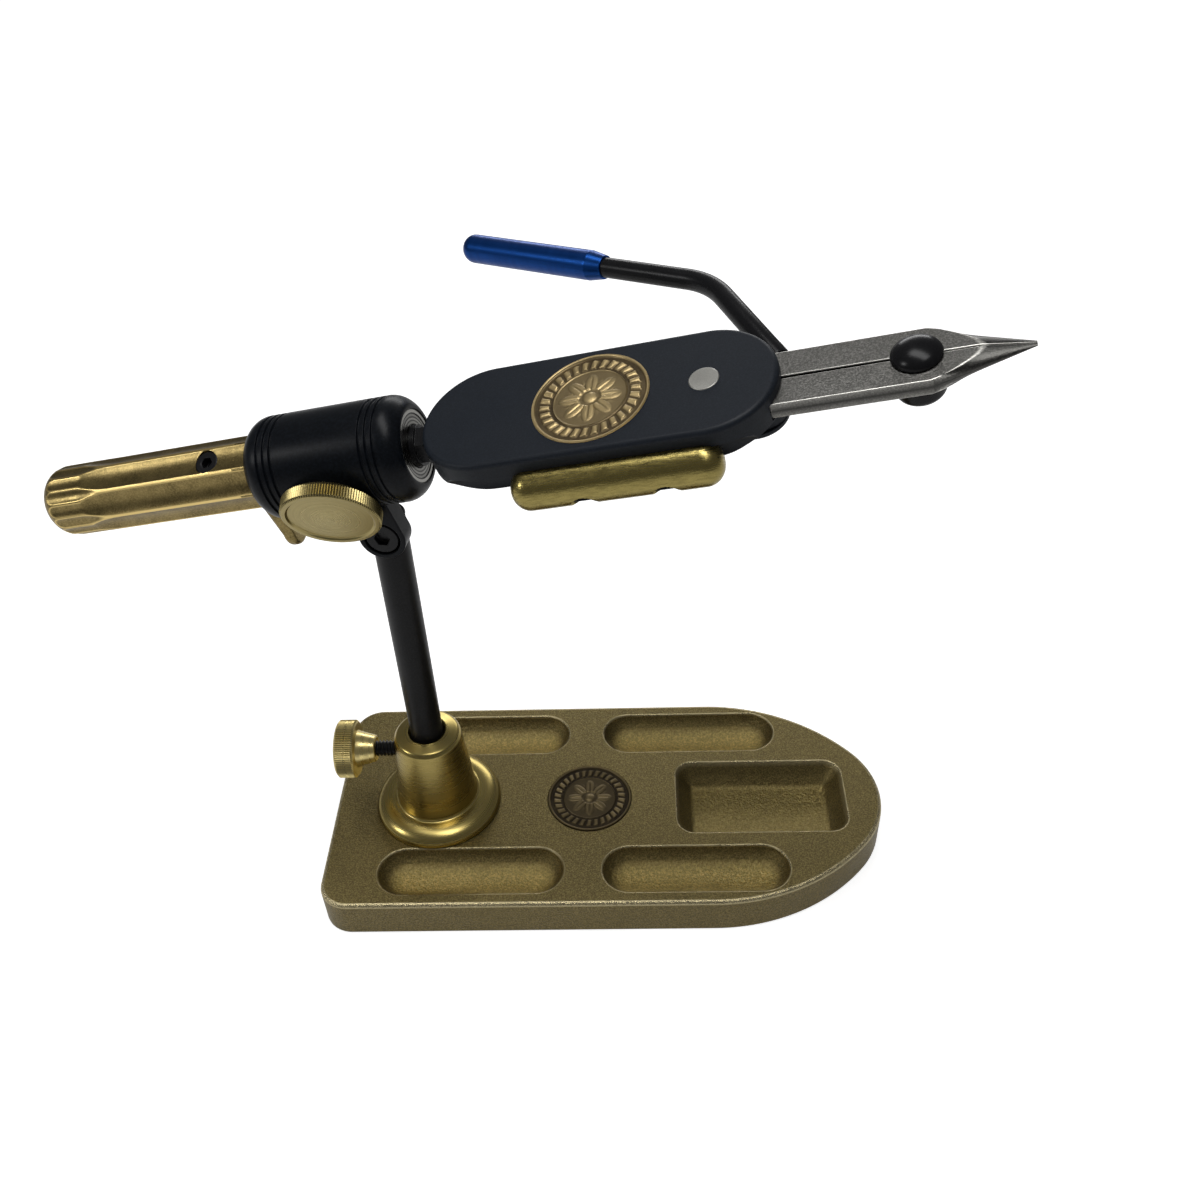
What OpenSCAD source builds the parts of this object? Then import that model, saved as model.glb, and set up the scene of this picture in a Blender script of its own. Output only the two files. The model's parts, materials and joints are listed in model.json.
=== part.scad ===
// Fly tying vise: a cam-opened jaw head that turns on two ball bearings in a barrel,
// the barrel tilting on a round stem that is clamped in the boss of a heavy tray base.
// X runs along the base towards the jaws, Y to the far side, Z up.
// The origin is the middle of the base's underside.

/* [Base plate] */
// Length of the base plate
base_len = 169.4; // [160:0.2:190]
// Width of the base plate
base_w = 79; // [76:0.5:96]
// Thickness of the base plate
base_t = 13; // [12:0.5:18]
// Radius of the two corners at the square end
base_corner_r = 9; // [4:0.5:12]
// Length of the rounded nose
nose_len = 53; // [48:0.5:58]
// Radius of the nose's tip
nose_tip_r = 28; // [24:0.5:32]
// Distance of the stem from the square end
stem_setback = 32; // [28:0.2:34]
// Half width of each long tray
tray_r = 8.2; // [6:0.1:9]
// Length of each long tray
tray_len = 55.4; // [44:0.2:57]
// Depth of each long tray
tray_depth = 6; // [3:0.2:7]
// Metal left between two trays of one row
tray_gap = 11.4; // [8:0.2:14]
// Distance of the first tray from the square end
tray_start = 16.5; // [12:0.5:18]
// Distance of each tray row from the centre line
tray_y = 27.2; // [26:0.1:28.5]
// Length of the square dish at its rim
dish_len = 52.2; // [40:0.2:54]
// Width of the square dish at its rim
dish_w = 28.3; // [22:0.1:32]
// Depth of the square dish
dish_depth = 7; // [4:0.2:8]
// Run of the dish's sloping walls
dish_slope = 5.2; // [3:0.1:7]
// Corner radius of the dish at its rim
dish_corner_r = 5.5; // [4:0.1:8]
// Distance of the dish's middle from the square end
dish_x = 132.2; // [128:0.2:136]

/* [Medallions] */
// Radius of the disc let into the base
base_disc_r = 12.9; // [9:0.1:15]
// Distance of that disc from the square end
base_disc_x = 79.1; // [76:0.2:82]
// Radius of the disc let into the head
head_disc_r = 14; // [10:0.1:15]
// Distance of the head's disc behind the jaw pin
head_disc_back = 26.4; // [24:0.1:30]
// Thickness of a disc
disc_t = 1.5; // [1:0.1:2.5]
// Height of a disc above the face round it
disc_proud = 0.3; // [0.1:0.1:0.6]

/* [Boss and thumb screw] */
// Height of the boss above the base
boss_h = 32; // [30:0.5:40]
// Radius of the boss at its top
boss_top_r = 9.7; // [9:0.1:12]
// Radius of the boss's cone at its foot
boss_foot_r = 12.4; // [11.5:0.1:14]
// Radius of the boss's foot flange
flange_r = 19.3; // [17:0.1:22]
// Height of the foot flange
flange_h = 4.6; // [3:0.1:6]
// Radius of the spigot through the base
spigot_r = 8; // [7:0.1:9]
// Radius of the ring nut under the base
ring_nut_r = 13; // [11:0.1:15]
// Thickness of the ring nut
ring_nut_t = 4.5; // [3:0.1:5]
// Height of the thumb screw over the base's top
thumb_z = 24.2; // [20:0.2:26]
// Radius of the thumb knob's knurled rim
thumb_r = 8.7; // [7:0.1:11]
// Width of the thumb knob's rim
thumb_w = 5.8; // [5:0.1:8]
// Length of the thumb knob's cone
thumb_cone = 5.6; // [3:0.1:7]
// Radius of the cone at its large end
thumb_cone_r = 5.6; // [5:0.1:8]
// Gap between the thumb knob's cone and the boss
thumb_reach = 5.7; // [3:0.1:9]
// Radius of the thumb screw's stud
thumb_stud_r = 2.4; // [2:0.1:3]

/* [Stem] */
// Radius of the stem
stem_r = 4.7625; // [4:0.05:5]
// Height of the stem's lower end over the table
stem_foot = 4; // [2:0.5:6]
// Height of the tilt pivot over the table
pivot_z = 120.7; // [100:0.5:150]
// Radius of the pivot screw
pivot_r = 2.5; // [2:0.1:2.6]
// Radius of the pivot screw's cap
pivot_cap_r = 4.25; // [4:0.05:4.5]
// Height of the pivot screw's cap
pivot_cap_h = 3; // [2.6:0.1:3.4]
// Radius of the lug's rounded end
lug_r = 6.2; // [5.5:0.1:7]
// Swing of the head about the stem
swing = -8.8; // [-30:0.2:30]
// Rise of the head's axis towards the jaws
tilt = 14; // [0:0.5:30]

/* [Barrel and bearings] */
// Distance of the head's axis from the tilt pivot
axis_rise = 21.7; // [21.5:0.1:26]
// Radius of the barrel
barrel_r = 13; // [12.5:0.1:14]
// Length of the barrel behind the pivot
barrel_back = 25.1; // [24:0.1:34]
// Length of the barrel ahead of the pivot
barrel_front = 17.2; // [15:0.1:20]
// Rounding of the barrel's two ends
barrel_round = 5.6; // [5:0.1:5.7]
// Distance of the rear grooves from the pivot
rear_groove_x = 17.6; // [15:0.1:19]
// Distance of the front grooves from the pivot
front_groove_x = 9.9; // [8:0.1:11]
// Spacing of the grooves
groove_pitch = 1.8; // [1.5:0.1:2]
// Outer radius of each ball bearing
bearing_r = 9; // [9:0.1:9.5]
// Width of each ball bearing
bearing_w = 6; // [5:0.1:7]
// Outer radius of the bearing's inner ring
inner_ring_r = 5.2; // [5.2:0.05:5.7]
// Inner radius of the bearing's outer ring
outer_ring_r = 7.8; // [7.8:0.05:8.3]
// Radius of a bearing ball
ball_r = 1.5; // [1.35:0.05:1.55]
// Number of balls in each bearing
balls = 7; // [6:1:8]

/* [Tension screw] */
// Distance of the tension knob behind the pivot
tension_back = 4.5; // [3:0.1:8]
// Angle of the tension knob below the horizontal
tension_drop = 26; // [15:1:30]
// Radius of the tension knob
tension_r = 12.2; // [10:0.1:12.5]
// Thickness of the tension knob
tension_t = 4; // [3:0.1:6]
// Radius of the tension knob's stud
tension_stud_r = 2.5; // [2:0.1:3]

/* [Shaft and handle] */
// Radius of the main shaft
shaft_r = 3.6; // [3.5:0.05:4.3]
// Corner radius of the shaft's hexagon nut
nut_r = 4.9; // [4.8:0.1:5.4]
// Radius of the handle
handle_r = 9.2; // [8.5:0.1:11]
// Length of the handle
handle_len = 59.8; // [50:0.5:70]
// Number of broad flutes round the handle
flutes = 8; // [7:1:10]
// Radius of each broad flute
flute_r = 8; // [6:0.5:9]
// Depth of each broad flute
flute_depth = 1.2; // [0.5:0.05:1.3]
// Share of the handle's length that the broad flutes take
flute_share = 0.72; // [0.5:0.01:0.85]
// Depth of each narrow rear flute
rear_flute_depth = 0.45; // [0.2:0.05:0.8]
// Radius of the handle's set screw
set_screw_r = 3.1; // [2:0.1:3.5]
// Distance of the set screw from the handle's front end
set_screw_x = 8; // [6:0.5:14]
// Angle of the set screw above the near horizontal
set_screw_turn = 60; // [40:1:80]
// Thickness of the crank's hub
crank_t = 3.4; // [2.5:0.1:5]
// Reach of the crank's finger boss from the axis
crank_reach = 20; // [18:0.5:30]
// Radius of the crank's finger boss
crank_boss_r = 4; // [3:0.1:5]
// Turn of the crank from straight down to the far side
crank_turn = 5; // [-30:1:30]

/* [Head block] */
// Roll of the head about its axis, far edge up
roll = 12.8; // [0:0.2:30]
// Gap between the barrel and the head
head_gap = 3.8; // [3.8:0.1:8]
// Length of the head
head_len = 84.8; // [82:0.2:90]
// Half width of the head
head_r = 16.5; // [16:0.1:18]
// Height of the head's top face over the axis
head_top = 6.2; // [6:0.1:7.5]
// Depth of the head's underside below the axis
head_bottom = 7.2; // [7:0.1:9]
// Depth below the axis where the lower bevel starts
bevel_start = 1.5; // [1:0.1:2.5]
// Half width of the head at its underside
head_low_r = 11; // [10.5:0.1:12]
// Rounding of the head's top edge
head_round = 1.3; // [0.5:0.1:2]
// Radius of the jaw pivot pin
pin_r = 3.5; // [3:0.05:3.6]
// Thickness of the cover under the head
cover_t = 1.3; // [1:0.1:1.6]

/* [Weight bar] */
// Radius of the weight bar
bar_r = 4.76; // [4.4:0.02:5]
// Length of the weight bar
bar_len = 49.2; // [44:0.2:54]
// Distance of the bar's middle behind the jaw pin
bar_back = 21.3; // [20:0.1:24]
// Distance of the bar's middle line from the head's middle
bar_y = 16.9; // [16.6:0.05:17.4]
// Depth of the bar's middle line below the axis
bar_z = 3.15; // [3:0.05:4]
// Distance between the bar's two screws
bar_screw_gap = 19; // [14:0.5:21]
// Slant of the bar's screws
bar_slant = 46; // [40:1:60]
// Radius of a bar screw's cap
bar_cap_r = 3.3; // [3:0.1:3.4]
// Radius of a bar screw's shank
bar_shank_r = 1.9; // [1.5:0.1:2.2]

/* [Jaws] */
// Half width of the closed pair of jaws
jaw_half_w = 8.2; // [7.5:0.1:8.4]
// Height of the jaws' top face over the axis
jaw_top = 3.1; // [2.9:0.1:3.4]
// Thickness of the jaws
jaw_t = 4; // [4:0.1:4.4]
// Reach of the jaws beyond the head's front end
jaw_reach = 52.6; // [48:0.2:58]
// Length of the taper of the jaws in plan
jaw_taper = 21.6; // [18:0.2:24]
// Length of the bevel that thins the tips
tip_bevel_len = 9.5; // [8:0.1:12]
// Half width of the closed tips
tip_half = 0.75; // [0.6:0.05:1]
// Dip of the bevel that thins the tips
tip_dip = 14; // [10:0.5:15]
// Width of the slit between the jaws
slit_w = 0.6; // [0.5:0.05:0.8]
// Width of the slit between the closed tips
tip_slit = 0.12; // [0.1:0.01:0.2]
// Distance of the button from the jaw tips
button_back = 24; // [22.5:0.2:26]
// Radius of the button's domes
button_r = 5.6; // [5:0.1:6]
// Height of each dome
button_h = 3; // [2:0.1:4]
// Straight part of the button under the jaws
button_skirt = 4.6; // [3:0.1:6]
// Radius of the button's shank
button_shank_r = 2.2; // [1.8:0.1:2.4]

/* [Lever] */
// Distance of the cam from the jaw pivot pin
cam_ahead = 10.1; // [10:0.1:10.6]
// Half length of the cam lobe
lobe_a = 4.05; // [3.9:0.05:4.1]
// Half width of the cam lobe
lobe_b = 2.85; // [2.75:0.05:2.9]
// Radius of the lever's hub
hub_r = 4.8; // [4.6:0.1:5]
// Radius of the cam's pivot pin
cam_pin_r = 1.6; // [1.3:0.1:1.8]
// Distance of the rod's lower end ahead of the cam
rod_x = 5.1; // [4.8:0.1:5.6]
// Distance of the rod's lower end to the far side
rod_y = 11.6; // [11.4:0.1:12.4]
// Radius of the lever rod
rod_r = 2.6; // [2.2:0.05:2.6]
// Straight length of the rod's steep part
rod_steep = 33; // [26:0.5:40]
// Straight length of the rod's shallow part
rod_shallow = 28.5; // [20:0.5:36]
// Radius of the rod's bend at its middle line
rod_bend_r = 12; // [8:0.5:16]
// Direction of the rod's steep part in the head's plane
steep_dir = 118.6; // [112:0.2:122]
// Angle of the rod's bend
rod_bend = 34.8; // [25:0.2:40]
// Radius of the grip
grip_r = 3.9; // [3.4:0.05:5]
// Length of the grip
grip_len = 48.5; // [36:0.5:56]
// Length of the grip's front taper
grip_taper = 4.5; // [2:0.1:7]

/* [Hidden] */
$fn = 64;
arc_steps = 7;
hull_fn = 32;
// Overrun of every cut past the face that it opens
over = 1;
// Radial clearance of a running fit
run = 0.05;
// Gap between flat faces of pieces that move against each other
slip = 0.15;
// Gap kept round pieces that only pass each other
clear = 0.3;

// Base
stem_x = stem_setback - base_len / 2;
side_x = base_len / 2 - nose_len;
half_w = base_w / 2;
tip_x = nose_len - nose_tip_r;
side_arc_r = (pow(tip_x, 2) + pow(half_w, 2) - pow(nose_tip_r, 2)) / (2 * (half_w - nose_tip_r));
tip_turn = atan2(side_arc_r - half_w, tip_x);
tray_tool_r = (pow(tray_r, 2) + pow(tray_depth, 2)) / (2 * tray_depth);
disc_seat = disc_t - disc_proud;
disc_rim = 1.2;
disc_rim_h = disc_proud / 2;

// Boss and thumb screw
spigot_foot = stem_foot / 2;
nut_seat_t = base_t / 2;
ring_nut_z = base_t - nut_seat_t - ring_nut_t;
fillet_r = flange_h * 0.55;
boss_round = 2.6;
foot_round = flange_h * 0.4;
mouth_chamfer = 1.1;
cone_share = 0.72;
boss_wall_x = boss_top_r + (boss_foot_r - boss_top_r) * (boss_h - thumb_z) / boss_h;
thumb_face_x = boss_wall_x + thumb_reach;
thumb_tip_x = stem_r + slip;
knob_edge = 0.6;
face_dish = 0.5;
face_rim = 1.6;

// Stem and lug
half_gap = slip;
lug_proud = 1;
lug_out = stem_r + lug_proud;
lug_t = lug_out - half_gap;
cap_out = lug_out - slip;
washer_t = 0.6;
washer_gap = run;
cap_seat = cap_out - pivot_cap_h - washer_t - 2 * washer_gap;
hex_share = 0.5;

// Barrel and bearings
mouth_wall = 0.8;
shoulder_drop = barrel_r - bearing_r - mouth_wall;
shoulder_turn = asin((barrel_round - shoulder_drop) / barrel_round);
shoulder_run = barrel_round * cos(shoulder_turn);
bearing_inset = 0.3;
front_bearing_x = barrel_front - bearing_inset - bearing_w / 2;
rear_bearing_x = bearing_inset - barrel_back + bearing_w / 2;
bearing_places = [rear_bearing_x, front_bearing_x];
pitch_r = (inner_ring_r + outer_ring_r) / 2;
race_r = ball_r + run;
shield_t = 0.3;
shield_in_r = inner_ring_r + slip;
cage_wall = 0.8;
cage_w = bearing_w - 4 * shield_t - 2 * clear;
groove_r = 0.45;
mid_bore_r = outer_ring_r - cage_wall;
lug_neck_r = lug_r * 0.8;

// Tension screw
tension_in = barrel_r + clear;
spacer_r = inner_ring_r - slip;
plug_r = tension_stud_r - run;
plug_len = 2.6;
plug_in = spacer_r + run;
stud_in = plug_in + plug_len;

// Shaft line
handle_front = -barrel_back - 2 * clear - crank_t;
shaft_back = handle_front - handle_len * 0.5;
head_back = barrel_front + head_gap;
shaft_in_head = 20;
nut_w = head_gap - 3 * clear;
nut_seat_r = inner_ring_r - slip;
dome_r = handle_r * 0.6;
edge_r = 0.8;
rear_flute_r = flute_r / 2;
flute_fade = handle_r / 4;
set_screw_depth = handle_r - shaft_r - flute_depth;
crank_hub_r = handle_r - edge_r / 2;
arm_share = 0.9;
arm_root = crank_hub_r * arm_share;
arm_end = crank_boss_r * arm_share;

// Head
head_front = head_back + head_len;
head_mid = (head_back + head_front) / 2;
head_span = head_len - 2 * head_r;
pin_x = head_front - head_r;
cam_x = pin_x + cam_ahead;
jaw_bottom = jaw_top - jaw_t;
jaw_mid = jaw_top - jaw_t / 2;
slot_half = jaw_half_w + 2 * clear;
slot_floor = jaw_bottom - slip;
slot_roof = jaw_top + slip;
cover_z = cover_t - head_bottom;
jaw_tail = pin_x - pin_r - 2.5 * edge_r;
slot_back = jaw_tail - 2 * clear;
cam_boss_r = hub_r + 6 * clear;
cover_back = pin_x - pin_r - 4 * bar_shank_r;
cover_half = head_low_r * 0.68;
cover_front = cam_x + cam_boss_r;
cover_screw_r = 1.1;
cover_screw_cap_r = 1.9;
cover_screw_cap_h = cover_t * 0.6;
cover_screw_len = 3.5;
cover_screw_y = cover_half * 0.62;
cover_screw_x = [cover_back + 3 * cover_screw_cap_r, pin_x + cover_screw_cap_r];
lock_screw_r = 1.5;
lock_screw_x = head_back + shaft_in_head * 0.6;
bar_mid = pin_x - bar_back;
bar_end = bar_r * 0.85;
bar_cap_h = 3;
bar_cap_drop = 0.7;
bar_screw_hold = 6;
bar_screw_shift = 1.7;

// Lever
plate_top = slot_floor - clear - washer_t * 1.5;
rod_z = plate_top;
plate_t = 2.6;
plate_bottom = plate_top - plate_t;
lever_floor = cover_z;
ear_r = rod_r + clear;
lobe_arc_r = (pow(lobe_a * 1.15, 2) + pow(lobe_b, 2)) / (2 * lobe_b);
lobe_top = jaw_top - clear;
lap_len = 2 * ear_r;
rod_room_y = slot_half;
rod_room_back = 9;
rod_room_roof = rod_z + rod_r + clear;
pocket_half = lobe_b + slip;
pocket_len = 2 * (lobe_a + clear);
grip_lap = 12;
spring_t = 0.5;
spring_gap = clear / 2;
spring_len = pin_r * 3;
spring_room = spring_t + 2 * spring_gap;

// Jaws
jaw_tip = head_front + jaw_reach;
shoulder_x = jaw_tip - jaw_taper;
button_x = jaw_tip - button_back;
bevel_x = shoulder_x + edge_r;
bevel_turn = atan2(jaw_half_w - slit_w / 2, tip_bevel_len);
far_notch_r = button_shank_r + 6 * clear;
button_slip = slip / 1.5;
dome_ball_r = (pow(button_r, 2) + pow(button_h, 2)) / (2 * button_h);

// Points along an arc round c, from angle a to angle b
function arc_pts(c, r, a, b) =
    [for (i = [0 : arc_steps]) c + r * [cos(a + (b - a) * i / arc_steps), sin(a + (b - a) * i / arc_steps)]];

// Places: at the stem's foot, at the tilt pivot along the head's axis, and in the head's own plane
module at_stem() translate([stem_x, 0, 0]) rotate([0, 0, swing]) children();
module at_pivot() at_stem() translate([0, 0, pivot_z]) rotate([0, -tilt, 0]) children();
module at_axis() at_pivot() translate([0, 0, axis_rise]) children();
module at_head() at_axis() rotate([roll, 0, 0]) children();

// Round bar or tube along X from x0 to x1
module bar_x(r, x0, x1) translate([x0, 0, 0]) rotate([0, 90, 0]) cylinder(h = x1 - x0, r = r);
module tube_x(r_in, r_out, x0, x1) difference() {
    bar_x(r_out, x0, x1);
    bar_x(r_in, x0 - over, x1 + over);
}
// Body turned about X from a half profile drawn as [x, radius]
module turned_x() rotate([0, 90, 0]) rotate_extrude() rotate(90) mirror([0, 1]) children();

module rounded_rect(l, w, r) {
    square([l - 2 * r, w], center = true);
    square([l, w - 2 * r], center = true);
    for (sx = [-1, 1], sy = [-1, 1]) translate([sx * (l / 2 - r), sy * (w / 2 - r)]) circle(r);
}

module stadium(l, r) {
    square([l - 2 * r, 2 * r], center = true);
    for (s = [-1, 1]) translate([s * (l / 2 - r), 0]) circle(r);
}

// Long round-ended body from a half profile drawn as [radius, height]
module stadium_body(span) {
    for (s = [-1, 1]) translate([s * span / 2, 0, 0]) rotate_extrude() children();
    rotate([90, 0, 90]) linear_extrude(span, center = true) {
        children();
        mirror([1, 0]) children();
    }
}

// Hexagon socket sunk from z = 0
module hex_socket(r, depth) translate([0, 0, -depth]) cylinder(h = depth + over, r = r, $fn = 6);

// Base
module base_outline() {
    left_len = base_len - nose_len + base_corner_r;
    translate([left_len / 2 - base_len / 2, 0]) rounded_rect(left_len, base_w, base_corner_r);
    intersection() {
        translate([side_x, half_w - side_arc_r]) circle(side_arc_r, $fn = 4 * $fn);
        translate([side_x, side_arc_r - half_w]) circle(side_arc_r, $fn = 4 * $fn);
        translate([side_x, -half_w]) square([tip_x + nose_tip_r * cos(tip_turn), base_w]);
    }
    translate([side_x + tip_x, 0]) circle(nose_tip_r, $fn = 4 * $fn);
}

module tray() {
    reach = tray_len / 2 - tray_r;
    translate([0, 0, tray_tool_r - tray_depth]) {
        bar_x(tray_tool_r, -reach, reach);
        for (s = [-1, 1]) translate([s * reach, 0, 0]) sphere(tray_tool_r);
    }
}

module dish() hull() {
    linear_extrude(over) rounded_rect(dish_len, dish_w, dish_corner_r, $fn = hull_fn);
    translate([0, 0, -dish_depth]) linear_extrude(dish_depth)
        rounded_rect(dish_len - 2 * dish_slope, dish_w - 2 * dish_slope, dish_corner_r / 2, $fn = hull_fn);
}

module base_plate() color([0.42, 0.36, 0.22]) difference() {
    linear_extrude(base_t) base_outline();
    for (i = [0, 1], s = [-1, 1])
        translate([tray_start + tray_len / 2 + i * (tray_len + tray_gap) - base_len / 2, s * tray_y, base_t])
            tray();
    translate([dish_x - base_len / 2, 0, base_t]) dish();
    translate([base_disc_x - base_len / 2, 0, base_t - disc_seat]) cylinder(h = disc_t + over, r = base_disc_r + run);
    translate([stem_x, 0, -over]) cylinder(h = base_t + 2 * over, r = spigot_r + run);
    translate([stem_x, 0, -over]) cylinder(h = base_t - nut_seat_t + over, r = ring_nut_r + clear);
}

// Plain disc with a raised rim, its back at z = 0
module disc(r) difference() {
    cylinder(h = disc_t, r = r);
    translate([0, 0, disc_t - disc_rim_h]) cylinder(h = disc_t, r = r - disc_rim);
}

module base_medallion() color([0.45, 0.36, 0.2])
    translate([base_disc_x - base_len / 2, 0, base_t - disc_seat]) disc(base_disc_r);

// Boss and thumb screw
module boss_profile() {
    fillet_x = boss_foot_r + fillet_r;
    top_c = [boss_top_r - boss_round, base_t + boss_h - boss_round];
    polygon(concat(
        [[0, spigot_foot], [spigot_r, spigot_foot], [spigot_r, base_t], [flange_r - foot_round, base_t]],
        arc_pts([flange_r - foot_round, base_t + foot_round], foot_round, -90, 0),
        arc_pts([flange_r - flange_h + foot_round, base_t + foot_round], flange_h - foot_round, 0, 90),
        arc_pts([fillet_x, base_t + flange_h + fillet_r], fillet_r, -90, -175),
        arc_pts(top_c, boss_round, 5, 90),
        [[0, base_t + boss_h]]));
}

module stem_boss() color([0.72, 0.58, 0.3]) translate([stem_x, 0, 0]) difference() {
    rotate_extrude() boss_profile();
    cylinder(h = base_t + boss_h + over, r = stem_r + run);
    translate([0, 0, base_t + boss_h - mouth_chamfer])
        cylinder(h = mouth_chamfer + over, r1 = stem_r + run, r2 = stem_r + run + mouth_chamfer + over);
    translate([0, 0, base_t + thumb_z]) bar_x(thumb_stud_r + run, -boss_foot_r - over, 0);
}

module ring_nut() color([0.3, 0.3, 0.32]) translate([stem_x, 0, ring_nut_z]) difference() {
    cylinder(h = ring_nut_t, r = ring_nut_r);
    translate([0, 0, -over]) cylinder(h = ring_nut_t + 2 * over, r = spigot_r + run);
    for (a = [0, 90]) rotate([0, 0, a]) translate([0, 0, -over])
        linear_extrude(ring_nut_t / 3 + over) square([2 * ring_nut_r + over, ring_nut_t / 2], center = true);
}

module at_thumb() translate([stem_x, 0, base_t + thumb_z]) mirror([1, 0, 0]) children();

module thumb_knob() color([0.8, 0.66, 0.36]) at_thumb() difference() {
    turned_x() polygon([[thumb_face_x, 0], [thumb_face_x, thumb_cone_r * cone_share],
        [thumb_face_x + thumb_cone, thumb_cone_r], [thumb_face_x + thumb_cone, thumb_r - knob_edge],
        [thumb_face_x + thumb_cone + knob_edge, thumb_r],
        [thumb_face_x + thumb_cone + thumb_w - knob_edge, thumb_r],
        [thumb_face_x + thumb_cone + thumb_w, thumb_r - knob_edge],
        [thumb_face_x + thumb_cone + thumb_w, 0]]);
    bar_x(thumb_stud_r, thumb_face_x - over, thumb_face_x + thumb_cone + thumb_w / 2);
}

module thumb_stud() color([0.12, 0.12, 0.13]) at_thumb()
    bar_x(thumb_stud_r, thumb_tip_x, thumb_face_x + thumb_cone + thumb_w / 2);

// Stem and tilt pivot
module stem() color([0.14, 0.14, 0.15]) difference() {
    at_stem() intersection() {
        translate([0, 0, stem_foot]) cylinder(h = pivot_z + stem_r - stem_foot, r = stem_r);
        union() {
            translate([-stem_r - over, -stem_r - over, 0]) cube([2 * (stem_r + over), 2 * (stem_r + over), pivot_z]);
            translate([0, stem_r + over, pivot_z]) rotate([90, 0, 0]) cylinder(h = 2 * (stem_r + over), r = stem_r);
        }
    }
    at_stem() translate([0, half_gap, pivot_z]) rotate([90, 0, 0])
        cylinder(h = stem_r + over + half_gap, r = lug_r + clear);
    at_stem() translate([0, stem_r + over, pivot_z]) rotate([90, 0, 0]) cylinder(h = stem_r + over, r = pivot_r);
}

module pivot_screw() color([0.1, 0.1, 0.11]) at_stem() translate([0, pivot_cap_h - cap_out, pivot_z])
    rotate([90, 0, 0]) difference() {
        union() {
            cylinder(h = pivot_cap_h, r = pivot_cap_r);
            translate([0, 0, -2 * stem_r]) cylinder(h = 2 * stem_r, r = pivot_r);
        }
        translate([0, 0, pivot_cap_h]) hex_socket(pivot_cap_r * hex_share, pivot_cap_h / 2);
    }

module pivot_washer() color([0.2, 0.2, 0.21]) at_stem() translate([0, -cap_seat - washer_gap, pivot_z])
    rotate([90, 0, 0]) difference() {
        cylinder(h = washer_t, r = pivot_cap_r + edge_r / 2);
        translate([0, 0, -over]) cylinder(h = washer_t + 2 * over, r = pivot_r + run);
    }

// Barrel
module barrel_shape() {
    back = -barrel_back;
    low = barrel_r - barrel_round;
    turned_x() polygon(concat(
        [[back, 0]],
        arc_pts([back + shoulder_run, low], barrel_round, 180 - shoulder_turn, 90),
        arc_pts([barrel_front - shoulder_run, low], barrel_round, 90, shoulder_turn),
        [[barrel_front, 0]]));
}

module barrel() color([0.07, 0.07, 0.08]) difference() {
    union() {
        at_axis() barrel_shape();
        at_pivot() translate([0, -half_gap, 0]) rotate([90, 0, 0]) {
            cylinder(h = lug_t, r = lug_r);
            translate([-lug_neck_r, 0, 0]) cube([2 * lug_neck_r, axis_rise - mid_bore_r - over, lug_t]);
        }
    }
    at_axis() {
        bar_x(mid_bore_r, -barrel_back - over, barrel_front + over);
        for (x = bearing_places, s = [sign(x)])
            bar_x(bearing_r + run / 5, x - bearing_w / 2 - (s < 0 ? over : 0), x + bearing_w / 2 + (s > 0 ? over : 0));
        for (g = [-rear_groove_x, front_groove_x], i = [-1 : 1])
            translate([g + i * groove_pitch, 0, 0]) rotate([0, 90, 0])
                rotate_extrude() translate([barrel_r + groove_r / 2, 0]) circle(groove_r);
        at_tension() translate([0, 0, -over]) cylinder(h = barrel_r + 2 * over, r = tension_stud_r + run);
    }
    at_pivot() translate([0, over, 0]) rotate([90, 0, 0]) cylinder(h = lug_out + 2 * over, r = pivot_r + run);
    at_pivot() translate([0, -cap_seat, 0]) rotate([90, 0, 0])
        cylinder(h = lug_out - cap_seat + over, r = pivot_cap_r + edge_r / 2 + slip);
}

// Bearings
module at_bearings() at_axis() for (x = bearing_places) translate([x, 0, 0]) children();

module race() rotate([0, 90, 0]) rotate_extrude() translate([pitch_r, 0]) circle(race_r);

module bearing_outer_rings() color([0.75, 0.76, 0.78]) at_bearings() difference() {
    tube_x(outer_ring_r, bearing_r, -bearing_w / 2, bearing_w / 2);
    race();
    for (s = [-1, 1]) translate([s * (bearing_w / 2 - shield_t), 0, 0])
        bar_x(outer_ring_r + shield_t, -shield_t / 2, shield_t / 2);
}

module bearing_inner_rings() color([0.78, 0.79, 0.8]) at_bearings() difference() {
    tube_x(shaft_r + run / 5, inner_ring_r, -bearing_w / 2, bearing_w / 2);
    race();
}

module bearing_shields() color([0.6, 0.61, 0.62]) at_bearings() for (s = [-1, 1])
    translate([s * (bearing_w / 2 - shield_t), 0, 0])
        tube_x(shield_in_r, outer_ring_r + shield_t - run / 5, -shield_t / 2, shield_t / 2);

module each_ball() for (i = [0 : balls - 1]) rotate([360 * i / balls, 0, 0]) translate([0, pitch_r, 0]) children();

module bearing_balls() color([0.85, 0.86, 0.88]) at_bearings() each_ball() sphere(ball_r);

module bearing_cages() color([0.7, 0.55, 0.3]) at_bearings() difference() {
    tube_x(pitch_r - cage_wall / 2, pitch_r + cage_wall / 2, -cage_w / 2, cage_w / 2);
    each_ball() rotate([90, 0, 0]) cylinder(h = 2 * cage_wall, r = ball_r + run, center = true);
}

module bearing_spacer() color([0.6, 0.6, 0.62]) at_axis()
    tube_x(shaft_r + run / 5, spacer_r, rear_bearing_x + bearing_w / 2, front_bearing_x - bearing_w / 2);

// Tension screw: local Z runs out of the barrel
module at_tension() translate([-tension_back, 0, 0]) rotate([90 + tension_drop, 0, 0]) children();

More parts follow.
